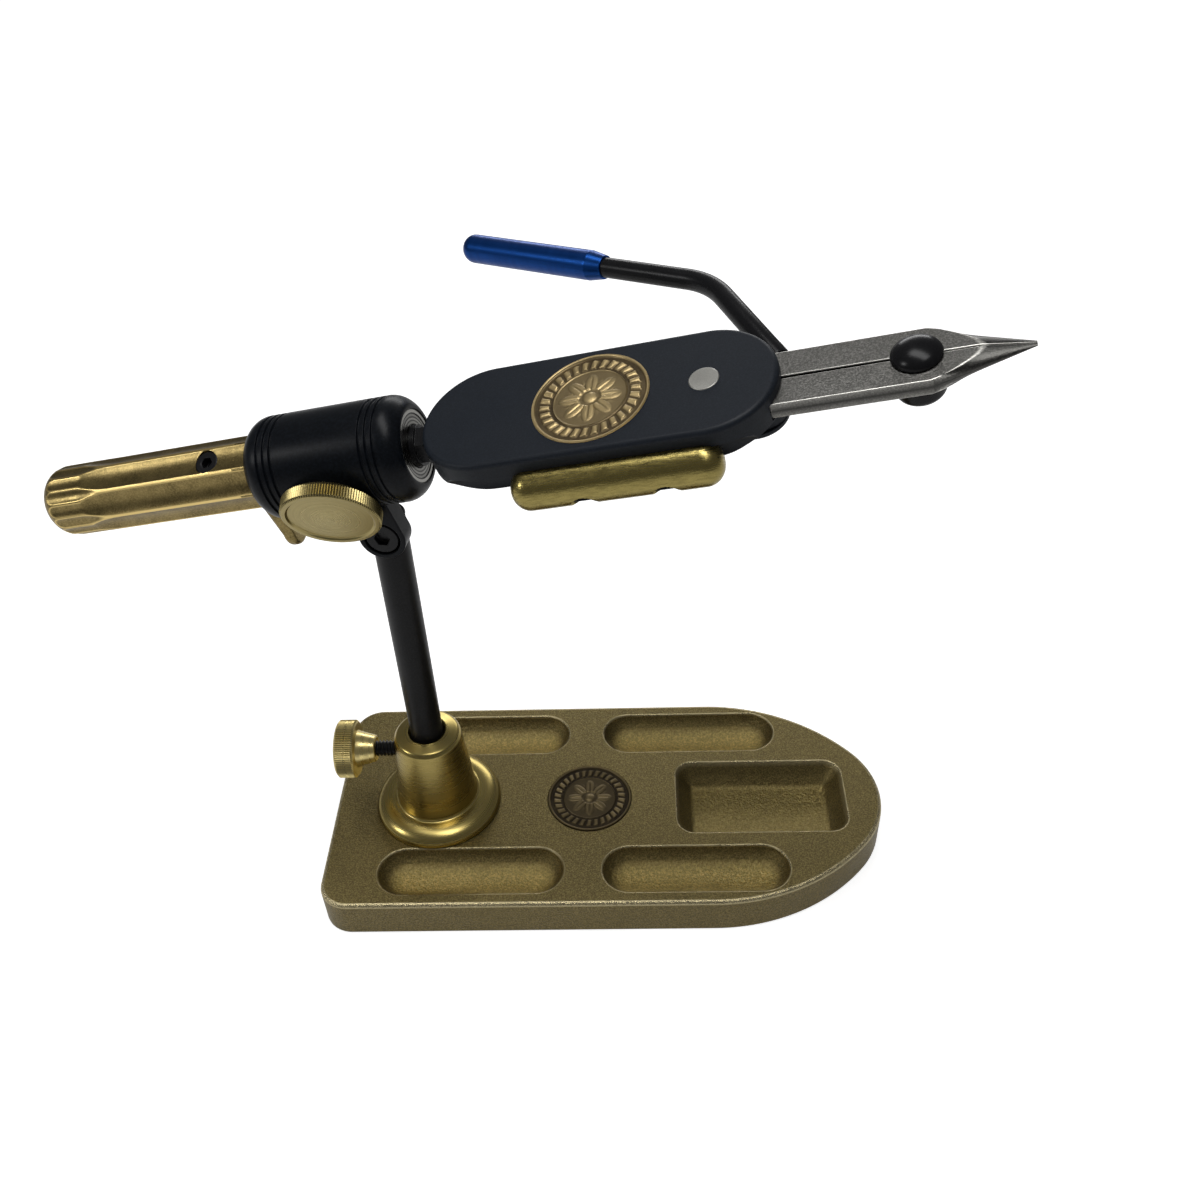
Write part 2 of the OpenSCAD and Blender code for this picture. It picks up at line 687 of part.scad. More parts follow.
module tension_knob() color([0.78, 0.64, 0.34]) at_axis() at_tension() difference() {
    translate([0, 0, tension_in]) rotate_extrude() polygon([[0, 0], [tension_r - knob_edge, 0],
        [tension_r, knob_edge], [tension_r, tension_t - knob_edge], [tension_r - knob_edge, tension_t],
        [tension_r - face_rim, tension_t], [tension_r - face_rim - face_dish, tension_t - face_dish],
        [0, tension_t - face_dish]]);
    translate([0, 0, tension_in - over]) cylinder(h = tension_t / 2 + over, r = tension_stud_r);
}

module tension_stud() color([0.15, 0.15, 0.16]) at_axis() at_tension()
    translate([0, 0, stud_in]) cylinder(h = tension_in + tension_t / 2 - stud_in, r = tension_stud_r);

module drag_plug() color([0.85, 0.84, 0.78]) at_axis() at_tension()
    translate([0, 0, plug_in + clear / 3]) cylinder(h = plug_len - clear / 3 - run, r = plug_r);

// Shaft line
module main_shaft() color([0.2, 0.2, 0.22]) at_axis() bar_x(shaft_r, shaft_back, head_back + shaft_in_head);

module shaft_nut() color([0.09, 0.09, 0.1]) at_axis() difference() {
    union() {
        bar_x(nut_seat_r, front_bearing_x + bearing_w / 2, barrel_front + 2 * clear + over / 2);
        translate([barrel_front + 2 * clear, 0, 0]) rotate([0, 90, 0]) cylinder(h = nut_w, r = nut_r, $fn = 6);
    }
    bar_x(shaft_r + run / 5, 0, head_back + over);
}

// Ring of n cutters of radius r along X
module flute_row(n, r, depth, x0, x1) for (i = [0 : n - 1])
    rotate([360 * i / n - set_screw_turn, 0, 0]) translate([0, depth - handle_r - r, 0]) bar_x(r, x0, x1);

module handle_shape() {
    back = handle_front - handle_len;
    turned_x() polygon(concat(
        [[back, 0]],
        arc_pts([back + dome_r, handle_r - dome_r], dome_r, 180, 90),
        [[handle_front - edge_r, handle_r], [handle_front, handle_r - edge_r], [handle_front, 0]]));
}

module handle() color([0.5, 0.42, 0.24]) at_axis() difference() {
    handle_shape();
    flute_row(flutes, flute_r, flute_depth, handle_front - handle_len * flute_share, handle_front + over);
    flute_row(2 * flutes, rear_flute_r, rear_flute_depth, handle_front - handle_len - over,
        handle_front - handle_len * flute_share - flute_fade);
    bar_x(shaft_r + run / 5, shaft_back, handle_front + over);
    at_set_screw() translate([0, 0, shaft_r / 2]) cylinder(h = handle_r, r = set_screw_r + run / 5);
}

// Local Z runs out of the handle along its set screw
module at_set_screw() translate([handle_front - set_screw_x, 0, 0]) rotate([90 - set_screw_turn, 0, 0]) children();

module handle_set_screw() color([0.07, 0.07, 0.07]) at_axis() at_set_screw() difference() {
    translate([0, 0, shaft_r + run]) cylinder(h = set_screw_depth, r = set_screw_r);
    translate([0, 0, shaft_r + run + set_screw_depth]) hex_socket(set_screw_r * hex_share, set_screw_depth / 2);
}

module crank_arm() color([0.5, 0.42, 0.24]) at_axis() rotate([crank_turn, 0, 0]) difference() {
    union() {
        translate([handle_front, 0, 0]) rotate([0, 90, 0]) linear_extrude(crank_t) {
            circle(crank_hub_r);
            polygon([[0, -arm_root], [crank_reach, -arm_end], [crank_reach, arm_end], [0, arm_root]]);
            translate([crank_reach, 0]) circle(crank_boss_r);
        }
        bar_x(nut_seat_r, handle_front + crank_t / 2, rear_bearing_x - bearing_w / 2);
    }
    bar_x(shaft_r + run / 5, handle_front - over, 0);
}

// Head
module head_profile() polygon(concat(
    [[0, -head_bottom], [head_low_r, -head_bottom], [head_r, -bevel_start]],
    arc_pts([head_r - head_round, head_top - head_round], head_round, 0, 90),
    [[0, head_top]]));

module head_body() color([0.06, 0.065, 0.08]) at_head() difference() {
    union() {
        translate([head_mid, 0, 0]) stadium_body(head_span) head_profile();
        translate([cam_x, 0, -head_bottom]) cylinder(h = head_bottom + slot_floor, r = cam_boss_r);
    }
    // Socket of the shaft and its lock screw
    bar_x(shaft_r + run / 5, head_back - over, head_back + shaft_in_head);
    translate([lock_screw_x, 0, -head_bottom - over]) cylinder(h = head_bottom + over, r = lock_screw_r);
    // Seats of the disc, the pin and the cam's pin
    translate([pin_x - head_disc_back, 0, head_top - disc_seat]) cylinder(h = disc_t + over, r = head_disc_r + run);
    translate([pin_x, 0, lever_floor]) cylinder(h = head_top - lever_floor + over, r = pin_r + run / 5);
    translate([cam_x, 0, slot_roof - over]) cylinder(h = head_top - slot_roof, r = cam_pin_r + run / 5);
    // Jaw slot with the rooms of its two closing springs
    translate([slot_back, -slot_half, slot_floor]) cube([head_front, 2 * slot_half, slot_roof - slot_floor]);
    translate([slot_back, -slot_half - spring_room, slot_floor])
        cube([spring_len + 2 * clear, 2 * (slot_half + spring_room), slot_roof - slot_floor]);
    // Lever rooms under the jaws and on the far side
    translate([cam_x, 0, lever_floor]) cylinder(h = slot_roof - lever_floor, r = hub_r + clear);
    translate([cam_x - hub_r - clear, 0, lever_floor])
        cube([head_front, head_r + over, slot_roof - lever_floor - jaw_t]);
    translate([cam_x - rod_room_back, rod_room_y, lever_floor])
        cube([head_front, head_r, rod_room_roof - lever_floor]);
    // Cover recess and its screws
    cover_cut(cover_t + over, cover_half + run, run);
    for (x = cover_screw_x, s = [-1, 1]) translate([x, s * cover_screw_y, cover_z - over])
        cylinder(h = cover_screw_len + over, r = cover_screw_r);
    // Cradle of the weight bar and its screws
    at_bar() bar_x(bar_r + run / 5, -bar_len, bar_len);
    at_bar() each_bar_screw() cylinder(h = bar_r + bar_screw_hold, r = bar_shank_r);
}

module cover_cut(t, r, grow) translate([(cover_back + cover_front) / 2, 0, cover_z - t])
    linear_extrude(t) stadium(cover_front - cover_back + 2 * grow, r);

module head_cover() color([0.08, 0.08, 0.09]) at_head() difference() {
    cover_cut(cover_t, cover_half, 0);
    for (x = cover_screw_x, s = [-1, 1]) translate([x, s * cover_screw_y, cover_z - cover_t - over]) {
        cylinder(h = cover_t + 2 * over, r = cover_screw_r + run);
        cylinder(h = cover_screw_cap_h + over, r = cover_screw_cap_r + run);
    }
    translate([cam_x, 0, cover_z - cover_t - over]) cylinder(h = cover_t + 2 * over, r = cam_pin_r + run / 5);
}

module cover_screws() color([0.2, 0.2, 0.22]) at_head() for (x = cover_screw_x, s = [-1, 1])
    translate([x, s * cover_screw_y, cover_z - cover_t]) difference() {
        union() {
            cylinder(h = cover_screw_cap_h, r = cover_screw_cap_r);
            cylinder(h = cover_t + cover_screw_len - clear, r = cover_screw_r);
        }
        translate([0, 0, -over]) cylinder(h = cover_screw_cap_h + over - run, r = cover_screw_cap_r * hex_share, $fn = 6);
    }

module shaft_lock_screw() color([0.1, 0.1, 0.1]) at_head() translate([lock_screw_x, 0, -head_bottom + clear])
    difference() {
        cylinder(h = head_bottom - shaft_r - clear - run, r = lock_screw_r);
        translate([0, 0, -over]) cylinder(h = 2 * over, r = lock_screw_r * hex_share, $fn = 6);
    }

module head_medallion() color([0.45, 0.36, 0.2]) at_head()
    translate([pin_x - head_disc_back, 0, head_top - disc_seat]) disc(head_disc_r);

module jaw_pivot_pin() color([0.8, 0.8, 0.82]) at_head()
    translate([pin_x, 0, lever_floor + run]) cylinder(h = head_top + slip - lever_floor, r = pin_r);

module jaw_springs() color([0.5, 0.5, 0.53]) at_head() for (s = [-1, 1])
    translate([slot_back + clear, s * (slot_half + spring_room - spring_gap) - (s > 0 ? spring_t : 0), jaw_bottom])
        cube([spring_len, spring_t, jaw_t]);

// Weight bar: local X along the bar, local -Z out of the bar along its screws
module at_bar() translate([bar_mid, -bar_y, -bar_z]) rotate([-bar_slant, 0, 0]) children();
module each_bar_screw() for (s = [-1, 1]) translate([bar_screw_shift + s * bar_screw_gap / 2, 0, 0]) children();

module weight_bar() color([0.72, 0.6, 0.3]) at_head() at_bar() difference() {
    turned_x() polygon(concat(
        [[-bar_len / 2, 0]],
        arc_pts([bar_end - bar_len / 2, bar_r - bar_end], bar_end, 180, 90),
        arc_pts([bar_len / 2 - bar_end, bar_r - bar_end], bar_end, 90, 0),
        [[bar_len / 2, 0]]));
    each_bar_screw() {
        translate([0, 0, -bar_r - over]) cylinder(h = bar_cap_h + bar_cap_drop + over, r = bar_cap_r + run);
        translate([0, 0, -bar_r]) cylinder(h = 2 * bar_r, r = bar_shank_r + run);
    }
}

module weight_bar_screws() color([0.08, 0.08, 0.08]) at_head() at_bar() each_bar_screw()
    translate([0, 0, bar_cap_drop - bar_r]) difference() {
        union() {
            cylinder(h = bar_cap_h, r = bar_cap_r);
            cylinder(h = 2 * bar_r + bar_screw_hold - bar_cap_drop - 2 * over, r = bar_shank_r);
        }
        translate([0, 0, -over]) cylinder(h = bar_cap_h / 2 + over, r = bar_cap_r * hex_share, $fn = 6);
    }

// Lever
module cam_pin() color([0.7, 0.7, 0.72]) at_head()
    translate([cam_x, 0, -head_bottom + clear]) cylinder(h = head_top + head_bottom - 2 * clear - over, r = cam_pin_r);

// Lower end of the rod, local X along its steep part
module at_rod() translate([cam_x + rod_x, rod_y, 0]) rotate([0, 0, steep_dir]) children();

module lever_cam() color([0.12, 0.12, 0.13]) at_head() difference() {
    union() {
        translate([cam_x, 0, plate_bottom]) linear_extrude(plate_t) {
            circle(hub_r);
            rotate(atan2(rod_y, rod_x)) translate([0, -ear_r]) square([norm([rod_x, rod_y]), 2 * ear_r]);
            translate([rod_x, rod_y]) circle(ear_r);
            translate([rod_x, rod_y]) rotate(steep_dir) translate([0, -ear_r]) square([lap_len, 2 * ear_r]);
        }
        translate([cam_x, 0, plate_bottom]) intersection() {
            cylinder(h = lobe_top - plate_bottom, r = lobe_a);
            translate([0, lobe_b - lobe_arc_r, 0]) cylinder(h = lobe_top - plate_bottom, r = lobe_arc_r);
            translate([0, lobe_arc_r - lobe_b, 0]) cylinder(h = lobe_top - plate_bottom, r = lobe_arc_r);
        }
    }
    translate([cam_x, 0, plate_bottom - over]) cylinder(h = head_top + head_bottom, r = cam_pin_r + run);
}

module lever_rod() color([0.07, 0.07, 0.075]) at_head() translate([0, 0, rod_z]) difference() {
    at_rod() {
        bar_x(rod_r, 0, rod_steep);
        translate([rod_steep, rod_bend_r, 0]) {
            rotate([0, 0, -90]) rotate_extrude(angle = rod_bend) translate([rod_bend_r, 0]) circle(rod_r);
            rotate([0, 0, rod_bend]) translate([0, -rod_bend_r, 0]) bar_x(rod_r, 0, rod_shallow + grip_lap);
        }
    }
    at_rod() translate([-over, -rod_r - over, -rod_r - over]) cube([lap_len + over, 2 * (rod_r + over), rod_r + over]);
}

module lever_grip() color([0.04, 0.2, 0.55]) at_head() translate([0, 0, rod_z]) at_rod()
    translate([rod_steep, rod_bend_r, 0]) rotate([0, 0, rod_bend]) translate([rod_shallow, -rod_bend_r, 0]) difference() {
        turned_x() polygon(concat(
            [[0, 0], [0, rod_r + edge_r / 2], [grip_taper, grip_r]],
            arc_pts([grip_len - grip_r * 0.8, grip_r * 0.2], grip_r * 0.8, 90, 0),
            [[grip_len, 0]]));
        bar_x(rod_r + run / 5, -over, grip_lap + clear);
    }

// Jaws, drawn for the far side; the near one is its mirror image
module jaw(notch_r) {
    difference() {
        translate([0, 0, jaw_bottom]) linear_extrude(jaw_t) difference() {
            polygon([[jaw_tail, slit_w / 2], [button_x, slit_w / 2], [bevel_x + tip_bevel_len, tip_slit / 2],
                [jaw_tip, tip_slit / 2], [jaw_tip, tip_half], [shoulder_x, jaw_half_w], [jaw_tail, jaw_half_w]]);
            translate([pin_x, 0]) circle(pin_r + run);
            translate([cam_x, 0]) square([pocket_len, 2 * pocket_half], center = true);
            translate([button_x, 0]) circle(notch_r);
        }
        for (s = [-1, 1]) translate([0, 0, jaw_mid]) mirror([0, 0, (1 - s) / 2]) translate([bevel_x, jaw_half_w, jaw_t / 2])
            rotate([0, 0, -bevel_turn]) rotate([-tip_dip, 0, 0]) translate([-jaw_taper, 0, 0])
                cube([3 * jaw_taper, 2 * jaw_taper, jaw_taper]);
    }
}

module far_jaw() color([0.45, 0.45, 0.46]) at_head() jaw(far_notch_r);

module near_jaw() color([0.45, 0.45, 0.46]) at_head() mirror([0, 1, 0]) jaw(button_shank_r + run);

module button_dome() intersection() {
    cylinder(h = button_h, r = button_r);
    translate([0, 0, button_h - dome_ball_r]) sphere(dome_ball_r);
}

module jaw_button() color([0.04, 0.04, 0.045]) at_head() translate([button_x, 0, jaw_mid]) {
    cylinder(h = jaw_t + 2 * button_slip, r = button_shank_r, center = true);
    translate([0, 0, jaw_t / 2 + button_slip]) button_dome();
    mirror([0, 0, 1]) translate([0, 0, jaw_t / 2 + button_slip]) {
        cylinder(h = button_skirt, r = button_r);
        translate([0, 0, button_skirt]) button_dome();
    }
}

base_plate();
base_medallion();
stem_boss();
ring_nut();
thumb_knob();
thumb_stud();
stem();
pivot_screw();
pivot_washer();
barrel();
bearing_outer_rings();
bearing_shields();
bearing_balls();
bearing_cages();
bearing_inner_rings();
bearing_spacer();
tension_knob();
tension_stud();
drag_plug();
main_shaft();
shaft_nut();
handle();
handle_set_screw();
crank_arm();
head_body();
head_cover();
cover_screws();
shaft_lock_screw();
head_medallion();
jaw_pivot_pin();
jaw_springs();
weight_bar();
weight_bar_screws();
cam_pin();
lever_cam();
lever_rod();
lever_grip();
near_jaw();
far_jaw();
jaw_button();
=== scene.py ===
"""Dresses the tying vise: cast base, turned brass, black machined steel, fluted handle and blue grip.

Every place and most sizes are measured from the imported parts; what they can't tell is a named size below.
All lengths are in metres. A local frame's x is the line that its pieces are turned about.
"""
import json
import math

import bmesh
import bpy
import numpy as np
from mathutils import Matrix, Vector
from mathutils.geometry import tessellate_polygon

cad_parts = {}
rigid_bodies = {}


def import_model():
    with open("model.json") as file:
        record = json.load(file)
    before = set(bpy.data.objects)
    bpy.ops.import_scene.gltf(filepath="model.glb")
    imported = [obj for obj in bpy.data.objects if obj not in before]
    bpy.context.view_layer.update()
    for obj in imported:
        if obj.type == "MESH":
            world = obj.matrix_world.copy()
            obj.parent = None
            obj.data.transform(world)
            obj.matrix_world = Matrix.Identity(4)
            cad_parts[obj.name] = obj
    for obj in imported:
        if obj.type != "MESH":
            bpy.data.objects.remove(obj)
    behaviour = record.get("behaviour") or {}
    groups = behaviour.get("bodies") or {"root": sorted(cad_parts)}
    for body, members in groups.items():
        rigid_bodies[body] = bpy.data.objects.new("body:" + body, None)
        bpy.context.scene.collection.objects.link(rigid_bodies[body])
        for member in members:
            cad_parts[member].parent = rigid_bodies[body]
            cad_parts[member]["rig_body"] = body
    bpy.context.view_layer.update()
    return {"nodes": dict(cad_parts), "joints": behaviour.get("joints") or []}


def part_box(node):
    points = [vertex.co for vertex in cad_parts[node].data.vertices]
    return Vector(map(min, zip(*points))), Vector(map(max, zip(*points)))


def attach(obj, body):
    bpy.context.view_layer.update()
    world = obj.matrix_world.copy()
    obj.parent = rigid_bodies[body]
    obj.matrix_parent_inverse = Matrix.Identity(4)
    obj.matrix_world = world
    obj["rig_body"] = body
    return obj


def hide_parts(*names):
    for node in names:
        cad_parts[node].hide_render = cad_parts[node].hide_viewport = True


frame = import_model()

bl_info = {
    "name": "Tying vise finish",
    "version": (1, 0, 0),
    "blender": (4, 5, 0),
    "location": "View3D > Sidebar > Tying vise",
    "description": "Builds the visible surfaces and finishes of a pedestal tying vise",
    "category": "Object",
}

MM = 0.001
TURN = 2 * math.pi

# Points nearer than this are merged: in new pieces, and in copies of packed ones
WELD, CAD_WELD = 2e-7, 2e-6

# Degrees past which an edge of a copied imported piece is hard
HARD_ANGLE = 32.0

# Distance over which a painted highlight line along an edge or ridge fades, and columns round the handle and
# the crank arm's hub
BRIGHT_LINE = 0.16 * MM
HANDLE_COLUMNS = 432

# Mask values of the cast base: above PLAIN its paint is rubbed bright and painted with a highlight, and below
# 0 it is coarse, with a painted pool of light in its deepest parts
PLAIN, RIM, LIP, DISH_HOLLOW = 0.5, 0.8, 0.95, 0.7

JOINTS = {joint["name"]: joint for joint in frame["joints"]}


# Local frames

class Place:
    """A local frame: an origin and three unit directions, given in the shared frame."""

    def __init__(self, origin, x, y):
        self.origin = np.array(origin, float)
        self.axes = np.array([x, y, np.cross(x, y)], float)

    def out(self, points):
        """Local points in the shared frame."""
        return self.origin + np.asarray(points, float) @ self.axes

    def into(self, points):
        """Points of the shared frame in this one."""
        return (np.asarray(points, float) - self.origin) @ self.axes.T

    def span(self, node):
        """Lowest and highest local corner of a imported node."""
        mesh = frame["nodes"][node].data
        points = np.empty(len(mesh.vertices) * 3)
        mesh.vertices.foreach_get("co", points)
        local = self.into(points.reshape(-1, 3))
        return local.min(0), local.max(0)


ROTATION = JOINTS["head_rotation"]
SIDEWAYS = np.array(JOINTS["head_angle"]["axis"])
HEAD_UP = np.array(JOINTS["lever_cam"]["axis"])
TABLE = Place((0, 0, 0), (1, 0, 0), (0, 1, 0))
BARREL = Place(ROTATION["pos_m"], ROTATION["axis"], SIDEWAYS)
HEAD = Place(ROTATION["pos_m"], ROTATION["axis"], np.cross(HEAD_UP, ROTATION["axis"]))
TENSION = Place(JOINTS["tension_screw"]["pos_m"], JOINTS["tension_screw"]["axis"], ROTATION["axis"])
THUMB = Place(JOINTS["thumb_screw"]["pos_m"], (-1, 0, 0), (0, 1, 0))
STEM_X = THUMB.origin[0]
UPRIGHT = Place((STEM_X, 0, 0), (0, 0, 1), (1, 0, 0))


# Sizes and colours that a user may change

def length(name, description, default):
    return bpy.props.FloatProperty(name=name, description=description, default=default,
                                   unit="LENGTH", precision=5)


def angle(name, description, degrees):
    return bpy.props.FloatProperty(name=name, description=description, default=math.radians(degrees),
                                   subtype="ANGLE")


def count(name, description, default):
    return bpy.props.IntProperty(name=name, description=description, default=default, min=1)


def colour(name, description, default):
    return bpy.props.FloatVectorProperty(name=name, description=description, default=default, size=3,
                                         subtype="COLOR", min=0, max=1)


class ViseSizes(bpy.types.PropertyGroup):
    """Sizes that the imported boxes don't give."""

    corner_r: length("Base corner", "Radius of the two corners at the square end", 9 * MM)
    nose_len: length("Nose length", "Length of the base's rounded nose", 53 * MM)
    nose_tip_r: length("Nose tip", "Radius of the nose's tip", 28 * MM)
    base_edge: length("Base edge", "Rounding of the base's top edge", 1.3 * MM)
    tray_r: length("Tray half width", "Half width of each long tray", 8.2 * MM)
    tray_len: length("Tray length", "Length of each long tray", 55.4 * MM)
    tray_depth: length("Tray depth", "Depth of each long tray", 6 * MM)
    tray_gap: length("Tray gap", "Metal between two trays of one row", 11.4 * MM)
    tray_start: length("Tray start", "Distance of the first tray from the square end", 16.5 * MM)
    tray_y: length("Tray row", "Distance of each tray row from the centre line", 27.2 * MM)
    tray_edge: length("Tray edge", "Rounding of the trays' rims", 0.7 * MM)
    dish_len: length("Dish length", "Length of the square dish at its rim", 52.2 * MM)
    dish_w: length("Dish width", "Width of the square dish at its rim", 28.3 * MM)
    dish_depth: length("Dish depth", "Depth of the square dish", 7 * MM)
    dish_slope: length("Dish wall", "Run of the dish's sloping walls", 5.2 * MM)
    dish_corner_r: length("Dish corner", "Corner radius of the dish at its rim", 5.5 * MM)
    dish_x: length("Dish place", "Distance of the dish's middle from the square end", 132.2 * MM)
    disc_seat: length("Disc seat", "Depth of the seat of each disc", 1.2 * MM)
    nut_seat: length("Nut seat", "Depth of the ring nut's recess under the base", 6.5 * MM)
    relief: length("Relief", "Height of the ornament on the discs", 0.4 * MM)
    shoulder_r: length("Barrel shoulder", "Radius of the barrel's two round shoulders", 5.6 * MM)
    lug_out: length("Lug face", "Distance of the lug's outer face from the head's plane", 5.7625 * MM)
    flute_r: length("Flute radius", "Radius of the cutter of each broad flute", 8 * MM)
    flute_depth: length("Flute depth", "Depth of each broad flute", 1.2 * MM)
    flutes: count("Flutes", "Broad flutes round the handle", 8)
    rear_flute_depth: length("Rear flute depth", "Depth of each narrow rear flute", 0.45 * MM)
    dome: length("Handle end", "Rounding of the handle's rear end", 5.5 * MM)
    crank_edge: length("Crank edge", "Rounding of the crank arm's edges", 1.3 * MM)
    knurl_pitch: length("Knurl pitch", "Spacing of the knurled teeth", 0.66 * MM)
    knurl_depth: length("Knurl depth", "Depth of the knurled teeth", 0.26 * MM)
    thread_pitch: length("Thread pitch", "Pitch of the thumb screw's thread", 1.05 * MM)
    thread_depth: length("Thread depth", "Depth of the thumb screw's thread", 0.5 * MM)
    rod_r: length("Rod radius", "Radius of the lever rod", 2.6 * MM)
    rod_steep: length("Rod's steep part", "Straight length of the rod's steep part", 29.9 * MM)
    rod_shallow: length("Rod's shallow part", "Straight length of the rod up to the grip", 25.4 * MM)
    rod_bend_r: length("Rod bend", "Radius of the rod's bend", 22 * MM)
    rod_bend: angle("Bend angle", "Angle of the rod's bend", 34.8)
    steep_dir: angle("Rod direction", "Direction of the rod's steep part in the head's plane", 118.6)
    rod_x: length("Rod foot ahead", "Distance of the rod's foot ahead of the cam", 5.1 * MM)
    rod_y: length("Rod foot out", "Distance of the rod's foot to the far side", 11.6 * MM)
    jaw_taper: length("Jaw taper", "Length of the jaws' ground tips", 21.6 * MM)
    jaw_tip: length("Jaw tip", "Half width of the jaws' tips", 0.75 * MM)
    jaw_slit: length("Jaw slit", "Half width of the slit between the jaws at the button", 0.28 * MM)
    jaw_edge: length("Jaw edge", "Rounding of the jaws' edges", 0.28 * MM)
    grip_r: length("Grip radius", "Radius of the blue grip", 3.9 * MM)
    grip_len: length("Grip length", "Length of the blue grip", 48.5 * MM)
    grip_taper: length("Grip taper", "Length of the grip's front taper", 4.5 * MM)


class ViseColours(bpy.types.PropertyGroup):
    """Colours of the finishes."""

    bronze_paint: colour("Bronze paint", "Metallic paint on the cast base", (0.122, 0.095, 0.0365))
    # Partly rubbed paint, partly a painted highlight: laid on the rims and on the rounding of the top edge
    bronze_rub_and_highlight: colour("Bronze edge", "Rubbed edges of the bronze paint", (0.64, 0.55, 0.33))
    boss_brass: colour("Boss brass", "Stem boss", (0.45, 0.352, 0.122))
    satin_brass: colour("Satin brass", "Weight bar", (0.365, 0.294, 0.099))
    bright_brass: colour("Bright brass", "Knurled knobs", (0.82, 0.67, 0.29))
    old_bronze: colour("Old bronze", "High places of the discs", (0.5, 0.38, 0.185))
    old_bronze_low: colour("Old bronze, low", "Low places of the discs", (0.07, 0.05, 0.028))
    handle_bronze: colour("Handle bronze", "Fluted handle and crank", (0.29, 0.219, 0.088))
    black_coat: colour("Black coat", "Head block and barrel", (0.0108, 0.0142, 0.0202))
    black_oxide: colour("Black oxide", "Stem, screws and rod", (0.008, 0.008, 0.009))
    jaw_steel: colour("Jaw steel", "Blasted jaws", (0.195, 0.191, 0.178))
    bright_steel: colour("Bright steel", "Bearings, pins and shaft", (0.34, 0.335, 0.31))
    blue_anodise: colour("Blue anodise", "Lever's grip", (0.004, 0.055, 0.26))
    nylon: colour("Nylon", "Drag plug", (0.75, 0.74, 0.68))


def sizes():
    """The sizes as the user has set them."""
    return bpy.context.scene.vise_sizes


def colours():
    """The colours as the user has set them."""
    return bpy.context.scene.vise_colours


# Profiles and surfaces

def eased(corners, steps):
    """A polyline of (x, y, radius) corners with each corner turned into a tangent arc.

    The arc leaves each side where radius / tan(half the corner's angle) reaches, and one point beyond each
    of its ends keeps the flats beside it flat in smooth shading.
    """
    shared_side, free_side = 0.46, 0.96
    nearly_straight = 1.5
    beyond, spare = 1.08, 0.04
    points = np.array([c[:2] for c in corners], float)
    radii = [0.0] + [c[2] for c in corners[1:-1]] + [0.0]
    out = [points[:1]]
    for i in range(1, len(points) - 1):
        corner, radius = points[i], radii[i]
        back, ahead = points[i - 1] - corner, points[i + 1] - corner
        back_len, ahead_len = np.linalg.norm(back), np.linalg.norm(ahead)
        back, ahead = back / back_len, ahead / ahead_len
        half = 0.5 * math.acos(np.clip(back @ ahead, -1, 1))
        if radius == 0 or half > nearly_straight:
            out.append(corner[None])
            continue
        back_room = back_len * (shared_side if radii[i - 1] else free_side)
        ahead_room = ahead_len * (shared_side if radii[i + 1] else free_side)
        reach = min(radius / math.tan(half), back_room, ahead_room)
        radius = reach * math.tan(half)
        middle = corner + (back + ahead) / np.linalg.norm(back + ahead) * radius / math.sin(half)
        start, end = corner + back * reach - middle, corner + ahead * reach - middle
        first = math.atan2(start[1], start[0])
        sweep = (math.atan2(end[1], end[0]) - first + math.pi) % TURN - math.pi
        turn = first + sweep * np.linspace(0, 1, steps + 1)
        arc = middle + radius * np.stack([np.cos(turn), np.sin(turn)], 1)
        before = corner + back * min(beyond * reach, reach + spare * back_room)
        after = corner + ahead * min(beyond * reach, reach + spare * ahead_room)
        out += [before[None], arc, after[None]]
    out.append(points[-1:])
    return np.concatenate(out)


def divided(profile, step):
    """The profile with its long stretches cut into pieces no longer than step."""
    out = []
    for a, b in zip(profile, profile[1:]):
        parts = max(1, math.ceil(np.linalg.norm(b - a) / step))
        out.append(a + (b - a) * np.arange(parts)[:, None] / parts)
    return np.concatenate(out + [profile[-1:]])


def skin(rows, ring=False):
    """Quads over rows of points, each row closed on itself, and the rows too where ring is true."""
    rows = np.asarray(rows)
    m, n = rows.shape[:2]
    i = np.arange(m if ring else m - 1)[:, None] * n
    up = (i + n) % (m * n)
    j = np.arange(n)[None]
    right = (j + 1) % n
    faces = np.stack([i + j, i + right, up + right, up + j], -1)
    return rows.reshape(-1, 3), faces.reshape(-1, 4)


def around(columns):
    """Angles of evenly spaced columns about an axis."""
    return np.arange(columns) / columns * TURN


def swept(x, radius, turn):
    """Local points at each x, and at each radius and angle about the local x."""
    return np.stack([x + 0 * turn, radius * np.cos(turn), radius * np.sin(turn)], -1)


def turned(profile, place, columns=96, ring=False):
    """Surface of revolution: each (x, radius) of the profile swept about the place's x."""
    return skin(place.out(swept(profile[:, :1], profile[:, 1:], around(columns))), ring)


def pocketed(local, place, pockets):
    """Skin of local rows with round pockets of (x, direction in y and z, radius, floor) sunk in to it.

    Points inside a pocket's circle drop to its floor along its direction. Each point beside the circle moves
    on to it at the surface, or to just inside it at the floor, so that the wall stands nearly straight.
    """
    floor_share = 0.97
    for x, direction, radius, floor in pockets:
        foot = np.array([x, 0, 0])
        axis = np.array([0, *direction]) / np.linalg.norm(direction)
        offset = local - foot
        height = offset @ axis
        across = offset - height[..., None] * axis
        spread = np.linalg.norm(across, axis=-1)
        inside = (spread < radius) & (height > 0)
        near_in, near_out = inside.copy(), ~inside
        for step in (-1, 1):
            near_in |= np.roll(inside, step, 1)
            near_out |= np.roll(~inside, step, 1)
        for step in (-1, 1):
            near_in |= np.roll(near_in, step, 0)
            near_out |= np.roll(near_out, step, 0)
        rim = near_in & ~inside
        aim = np.where(rim, radius, np.where(inside & near_out, floor_share * radius, spread))
        across = across * (aim / np.maximum(spread, 1e-9))[..., None]
        height = np.where(inside, floor, height)
        moved = foot + across + height[..., None] * axis
        local = np.where((inside | rim)[..., None], moved, local)
    return skin(place.out(local))


